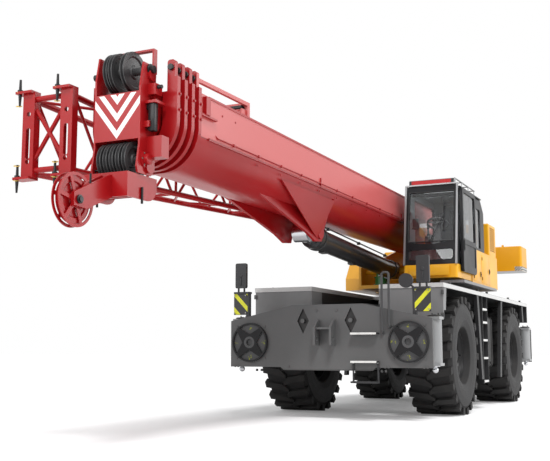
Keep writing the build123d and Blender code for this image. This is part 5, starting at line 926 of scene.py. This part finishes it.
cushion("seat_cushion", (seat_x, 2.148, 2.826), (0.262, 0.276, 0.080), 0.0, (-0.45, 0.0, 0.45))
cushion("seat_back", (seat_x, 2.432, 3.155), (0.256, 0.322, 0.080), radians(80), (-0.55, -0.15, 0.25, 0.65))
cushion("seat_headrest", (seat_x, 2.497, 3.522), (0.136, 0.088, 0.060), radians(88), ())
controls = Form("cab_controls")
grip = [(0, 0.016), (0.010, 0.024), (0.050, 0.022), (0.085, 0.027), (0.105, 0.020), (0.110, 0.006)]
boot = [(0, 0.038), (0.012, 0.036), (0.024, 0.028), (0.036, 0.033), (0.050, 0.022)]
for side in (-1, 1):
    for low, profile in ((3.120, grip), (2.990, boot)):
        controls.turned((seat_x + side * 0.302, 1.990, low), (0, 0, 1), profile, 18)
# pedals on the floor
for x in (0.96, 1.20):
    controls.plate([(x - 0.045, 1.330, 2.505), (x + 0.045, 1.330, 2.505), (x + 0.045, 1.400, 2.640),
                    (x - 0.045, 1.400, 2.640)], (0, 0.012, -0.006))
# screens on arms at both sides of the windscreen, and the rolled sun blind
controls.block((0.715, 1.215, 3.020), (0.815, 1.250, 3.205), 0.008)
controls.rod((0.715, 1.250, 3.06), (0.682, 1.290, 3.04), 0.010, 8)
controls.block((1.345, 1.225, 3.060), (1.435, 1.260, 3.290), 0.008)
controls.rod((1.425, 1.255, 3.12), (1.457, 1.300, 3.10), 0.010, 8)
controls.rod((0.720, 1.225, 3.590), (1.430, 1.225, 3.590), 0.024, 14)
controls.block((1.215, 1.215, 3.485), (1.345, 1.240, 3.570), 0.006)
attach(controls.made(rubber_black), "superstructure")
dials = Finish("dark_screens", Coat_Weight=1.0, Coat_Roughness=0.04)
x, y, z = dials.axes()
grid = ((z * 120.0).math("SINE") * (x * 90.0).math("SINE")) * 0.5 + 0.5
dials.feed(Base_Color=grid.mix((0.010, 0.014, 0.018), (0.035, 0.045, 0.055)), Roughness=grid * 0.05 + 0.08)
screens = Form("display_glasses")
screens.block((0.723, 1.249, 3.032), (0.807, 1.253, 3.193), 0.001)
screens.block((1.353, 1.259, 3.072), (1.427, 1.263, 3.278), 0.001)
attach(screens.made(dials), "superstructure")

# ======== cab door
# Sliding door in the cab's left side, pressed steel with one tall bonded pane. It hangs by two hangers on a
# top rail and carries a bar handle on a plate near its front edge.
door_fittings = Form("door_fittings")
door_fittings.block((1.583, 1.180, 2.615), (1.587, 1.232, 2.825), 0.0015)
door_fittings.rod((1.594, 1.200, 2.640), (1.594, 1.200, 2.800), 0.008, 10)
for high in (2.640, 2.800):
    door_fittings.rod((1.584, 1.200, high), (1.596, 1.200, high), 0.009, 10)
for place in (1.300, 1.880):
    door_fittings.block((1.541, place, 3.655), (1.583, place + 0.060, 3.672), 0.003)
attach(door_fittings.made(rubber_black), "cab_door")
door_rail = Form("door_rail").block((1.521, 1.160, 3.682), (1.552, 2.690, 3.700), 0.003)
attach(door_rail.made(cab_black), "superstructure")

# ======== boom base section
# High-strength steel, pressed into an upper and a lower shell and welded along one seam on each side, then
# painted red. The cylinder's bracket, the collar and the rope guide are welded on.
seam_z, head_face, base_front = 3.200, -6.250, -5.53
flank_x, pipe_x, pipe_z, pipe_front = 0.472, 0.481, 3.245, -5.10
crane_red = Finish("crane_red", Coat_Roughness=0.16, Specular_IOR_Level=0.24)
x, y, z = crane_red.axes()
fine = crane_red.noise(30.0, 4.0)
tone = crane_red.noise(0.9).ramp(0.35, 0.65).mix((0.305, 0.0045, 0.006), (0.345, 0.0065, 0.009))
# painted highlight: the upper shell is painted lighter and pinker, standing in for the studio's reflection on it
painted_upper_highlight = (z > seam_z) * (y > base_front) * (abs(x) < 0.475)
tone = (painted_upper_highlight * 0.80).mix(tone, (0.580, 0.122, 0.118))
seam_line = z.within(seam_z - 0.004, seam_z + 0.003) * (abs(x) > 0.462) * (y > base_front)
tone = (seam_line * 0.8).mix(tone, (0.060, 0.004, 0.006))
# white chevrons on the head's front plate
rise_of_v = (z - abs(x) * 1.25 - 3.045) / 0.170
on_plate = (z < 3.490) * (abs(x) < 0.262) * y.within(head_face - 0.006, head_face + 0.006)
chevron = (rise_of_v.fract() < 0.47) * (rise_of_v > 0.0) * on_plate
tone = chevron.mix(tone, (0.80, 0.80, 0.79))
crane_red.feed(Base_Color=tone, Roughness=fine * 0.10 + chevron * 0.1 + 0.27, Coat_Weight=(1 - chevron) * 0.10,
               Normal=fine.bump(0.0008, 0.22))
crane_red.on("boom_base", *(f"boom_section_{k}" for k in (2, 3, 4, 5)), "jib", "jib_brackets", "nose_sheave")
clip_places = [-4.73 + 0.62 * k for k in range(15)]
seam_pipe = Form("seam_pipes")
for side in (-1, 1):
    seam_pipe.rod((side * pipe_x, pipe_front, pipe_z), (side * pipe_x, 1.75, pipe_z), 0.007, 8)
    for place in clip_places[:11]:
        seam_pipe.slab((side * pipe_x, place, pipe_z), (0.012, 0.014, 0.015), 0.002)
    seam_pipe.rod((side * pipe_x, pipe_front, pipe_z), (side * 0.466, pipe_front - 0.03, pipe_z + 0.03), 0.007, 8)
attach(seam_pipe.made(crane_red), "boom")
for label, side in sides:
    screw_row(f"boom_screws_{label}", [(side * flank_x, place, 3.140) for place in clip_places[1:]]
              + [(side * flank_x, place, 3.52) for place in (-4.98, -4.68)],
              (side, 0, 0), crane_red, "boom", 0.009, 0.010, 0.013)
screw_row("boom_top_screws", [(x, -5.30 + 0.85 * k, 3.663) for x in (-0.40, 0.40) for k in range(11)],
          (0, 0, 1), crane_red, "boom", 0.012, 0.012, 0.017)
roller = Form("guide_roller").rod((-0.37, -4.300, 3.800), (0.37, -4.300, 3.800), 0.030, 18)
for x in (-0.37, 0.358):
    roller.rod((x, -4.300, 3.800), (x + 0.012, -4.300, 3.800), 0.045, 18)
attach(roller.made(gloss_black), "boom")

# ======== telescopic sections and head
# Four sections slide in the base one, each closed by a welded collar with an ear for the rope guide. The
# last one carries the head: two side plates with two banks of rope sheaves and the single-line nose.
collars = {"boom": -5.540, "boom_2": -5.680, "boom_3": -5.820, "boom_4": -5.960}
upper_y, upper_z, lower_y, lower_z = -6.090, 3.745, -6.155, 2.835      # shafts of the two sheave banks
nose_y, nose_z = -6.890, 2.350
for number, (body, collar) in enumerate(collars.items(), 1):
    # wear-pad adjusters: a threaded plug and lock plate on each flank, high and low
    pads, ear_pin = Form(f"collar_pads_{number}"), Form(f"ear_pin_{number}")
    for side in (-1, 1):
        for high in (3.36, 3.52):
            pads.turned((side * 0.503, collar + 0.045, high), (side, 0, 0),
                        [(0, 0.020), (0.005, 0.020), (0.006, 0.013), (0.014, 0.013)], 6)
        ear_pin.rod((side * 0.430, collar - 0.028, 3.790), (side * 0.430, collar + 0.045, 3.790), 0.032, 16)
    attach(pads.made(crane_red), body)
    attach(ear_pin.made(gloss_black), body)
sheave_black = Finish("sheave_black", Coat_Roughness=0.2)
x, y, z = sheave_black.axes()
lower_bank = z < 3.30
off_y = y - upper_y + lower_bank * (upper_y - lower_y)
off_z = z - upper_z + lower_bank * (upper_z - lower_z)
far = (off_y * off_y + off_z * off_z).root()
turned_face = ((far / 0.022).fract() > 0.5) * (far < 0.17)
rub = sheave_black.noise(16.0, 5.0)
sheave_black.feed(Base_Color=(rub * 0.4 + turned_face * 0.15).mix((0.020, 0.020, 0.021), (0.095, 0.095, 0.098)),
                  Roughness=rub * 0.22 + 0.30, Normal=(turned_face * 0.6 + rub * 0.3).bump(0.0018, 0.5))
sheave_black.on("head_sheaves")
gloss_black.on("jib_pins")
head = Form("head_fittings")
# load-sensor box and its two feet behind the left side plate
head.block((0.300, -6.165, 3.110), (0.375, -6.095, 3.420), 0.010)
for low in (3.330, 3.140):
    head.block((0.272, -6.150, low), (0.302, -6.110, low + 0.050), 0.004)
# rope keepers across the sheaves' mouths, and the ends of the upper shafts
head.rod((-0.262, -6.243, 2.716), (0.262, -6.243, 2.716), 0.013, 12)
head.rod((-0.262, -6.243, 2.752), (0.262, -6.243, 2.752), 0.010, 12)
head.rod((-0.395, upper_y, upper_z), (-0.262, upper_y, upper_z), 0.034, 18)
head.turned((0.270, upper_y, upper_z), (1, 0, 0), [(0, 0.060), (0.012, 0.060), (0.016, 0.038), (0.050, 0.038)], 22)
head.rod((0.262, upper_y, 3.560), (0.412, upper_y, 3.560), 0.020, 14)
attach(head.made(gloss_black), "boom_5")
lugs = Form("head_lugs")
for side in (1, -1):
    lugs.turned((side * 0.270, lower_y, lower_z), (side, 0, 0),
                [(0, 0.082), (0.014, 0.082), (0.016, 0.055), (0.052, 0.055), (0.056, 0.045)], 26)
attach(lugs.made(crane_red), "boom_5")
for label, side in sides:
    screw_row(f"head_screws_{label}", ring_of(6, 0.066, (side * 0.287, lower_y, lower_z), "X"),
              (side, 0, 0), zinc, "boom_5", 0.007, 0.010, 0.009)
nose = Form("nose_fittings")
for side in (-1, 1):
    nose.turned((side * 0.076, nose_y, nose_z), (side, 0, 0),
                [(0, 0.040), (0.012, 0.040), (0.014, 0.026), (0.026, 0.026)], 20)
# keeper pins of the nose
nose.rod((0.045, -6.700, 2.620), (0.045, -6.700, 2.360), 0.010, 10)
for x in (-0.262, 0.262):
    nose.rod((x, -6.180, 2.400), (x, -6.180, 2.560), 0.012, 10)
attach(nose.made(gloss_black), "boom_5")

# ======== stowed jib
# A welded tubular lattice hung along the boom's right side. Its base frame is held by four tapered pins,
# each kept by two yellow spring clips, and folds over the head for use.
clip = Tree("spring_clips", Finish="Material", Radius="Float", Wire="Float")
ring_line = clip.node("GeometryNodeCurvePrimitiveCircle", Resolution=12, Radius="Radius")
wire_line = clip.node("GeometryNodeCurvePrimitiveCircle", Resolution=6, Radius="Wire")
ring = clip.node("GeometryNodeCurveToMesh", Curve=ring_line, Profile_Curve=wire_line)
clip.ends(clip.node("GeometryNodeInstanceOnPoints", Points="Geometry", Instance=ring, Rotation=(0.35, 0.2, 0.0)))
clip_yellow = speckled("clip_yellow", 120.0, (0.62, 0.40, 0.06), (0.80, 0.60, 0.14), (0.2, 0.3), relief=(0.0005, 0.4))
clip_points = [(x, -6.220, z + off) for x in (-1.257, -0.762) for z in (3.600, 2.820) for off in (-0.075, 0.075)]
clips = clip.made("pin_clips", clip_points, clip_yellow, Radius=0.030, Wire=0.004)
clips.data.shade_smooth()
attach(clips, "boom")
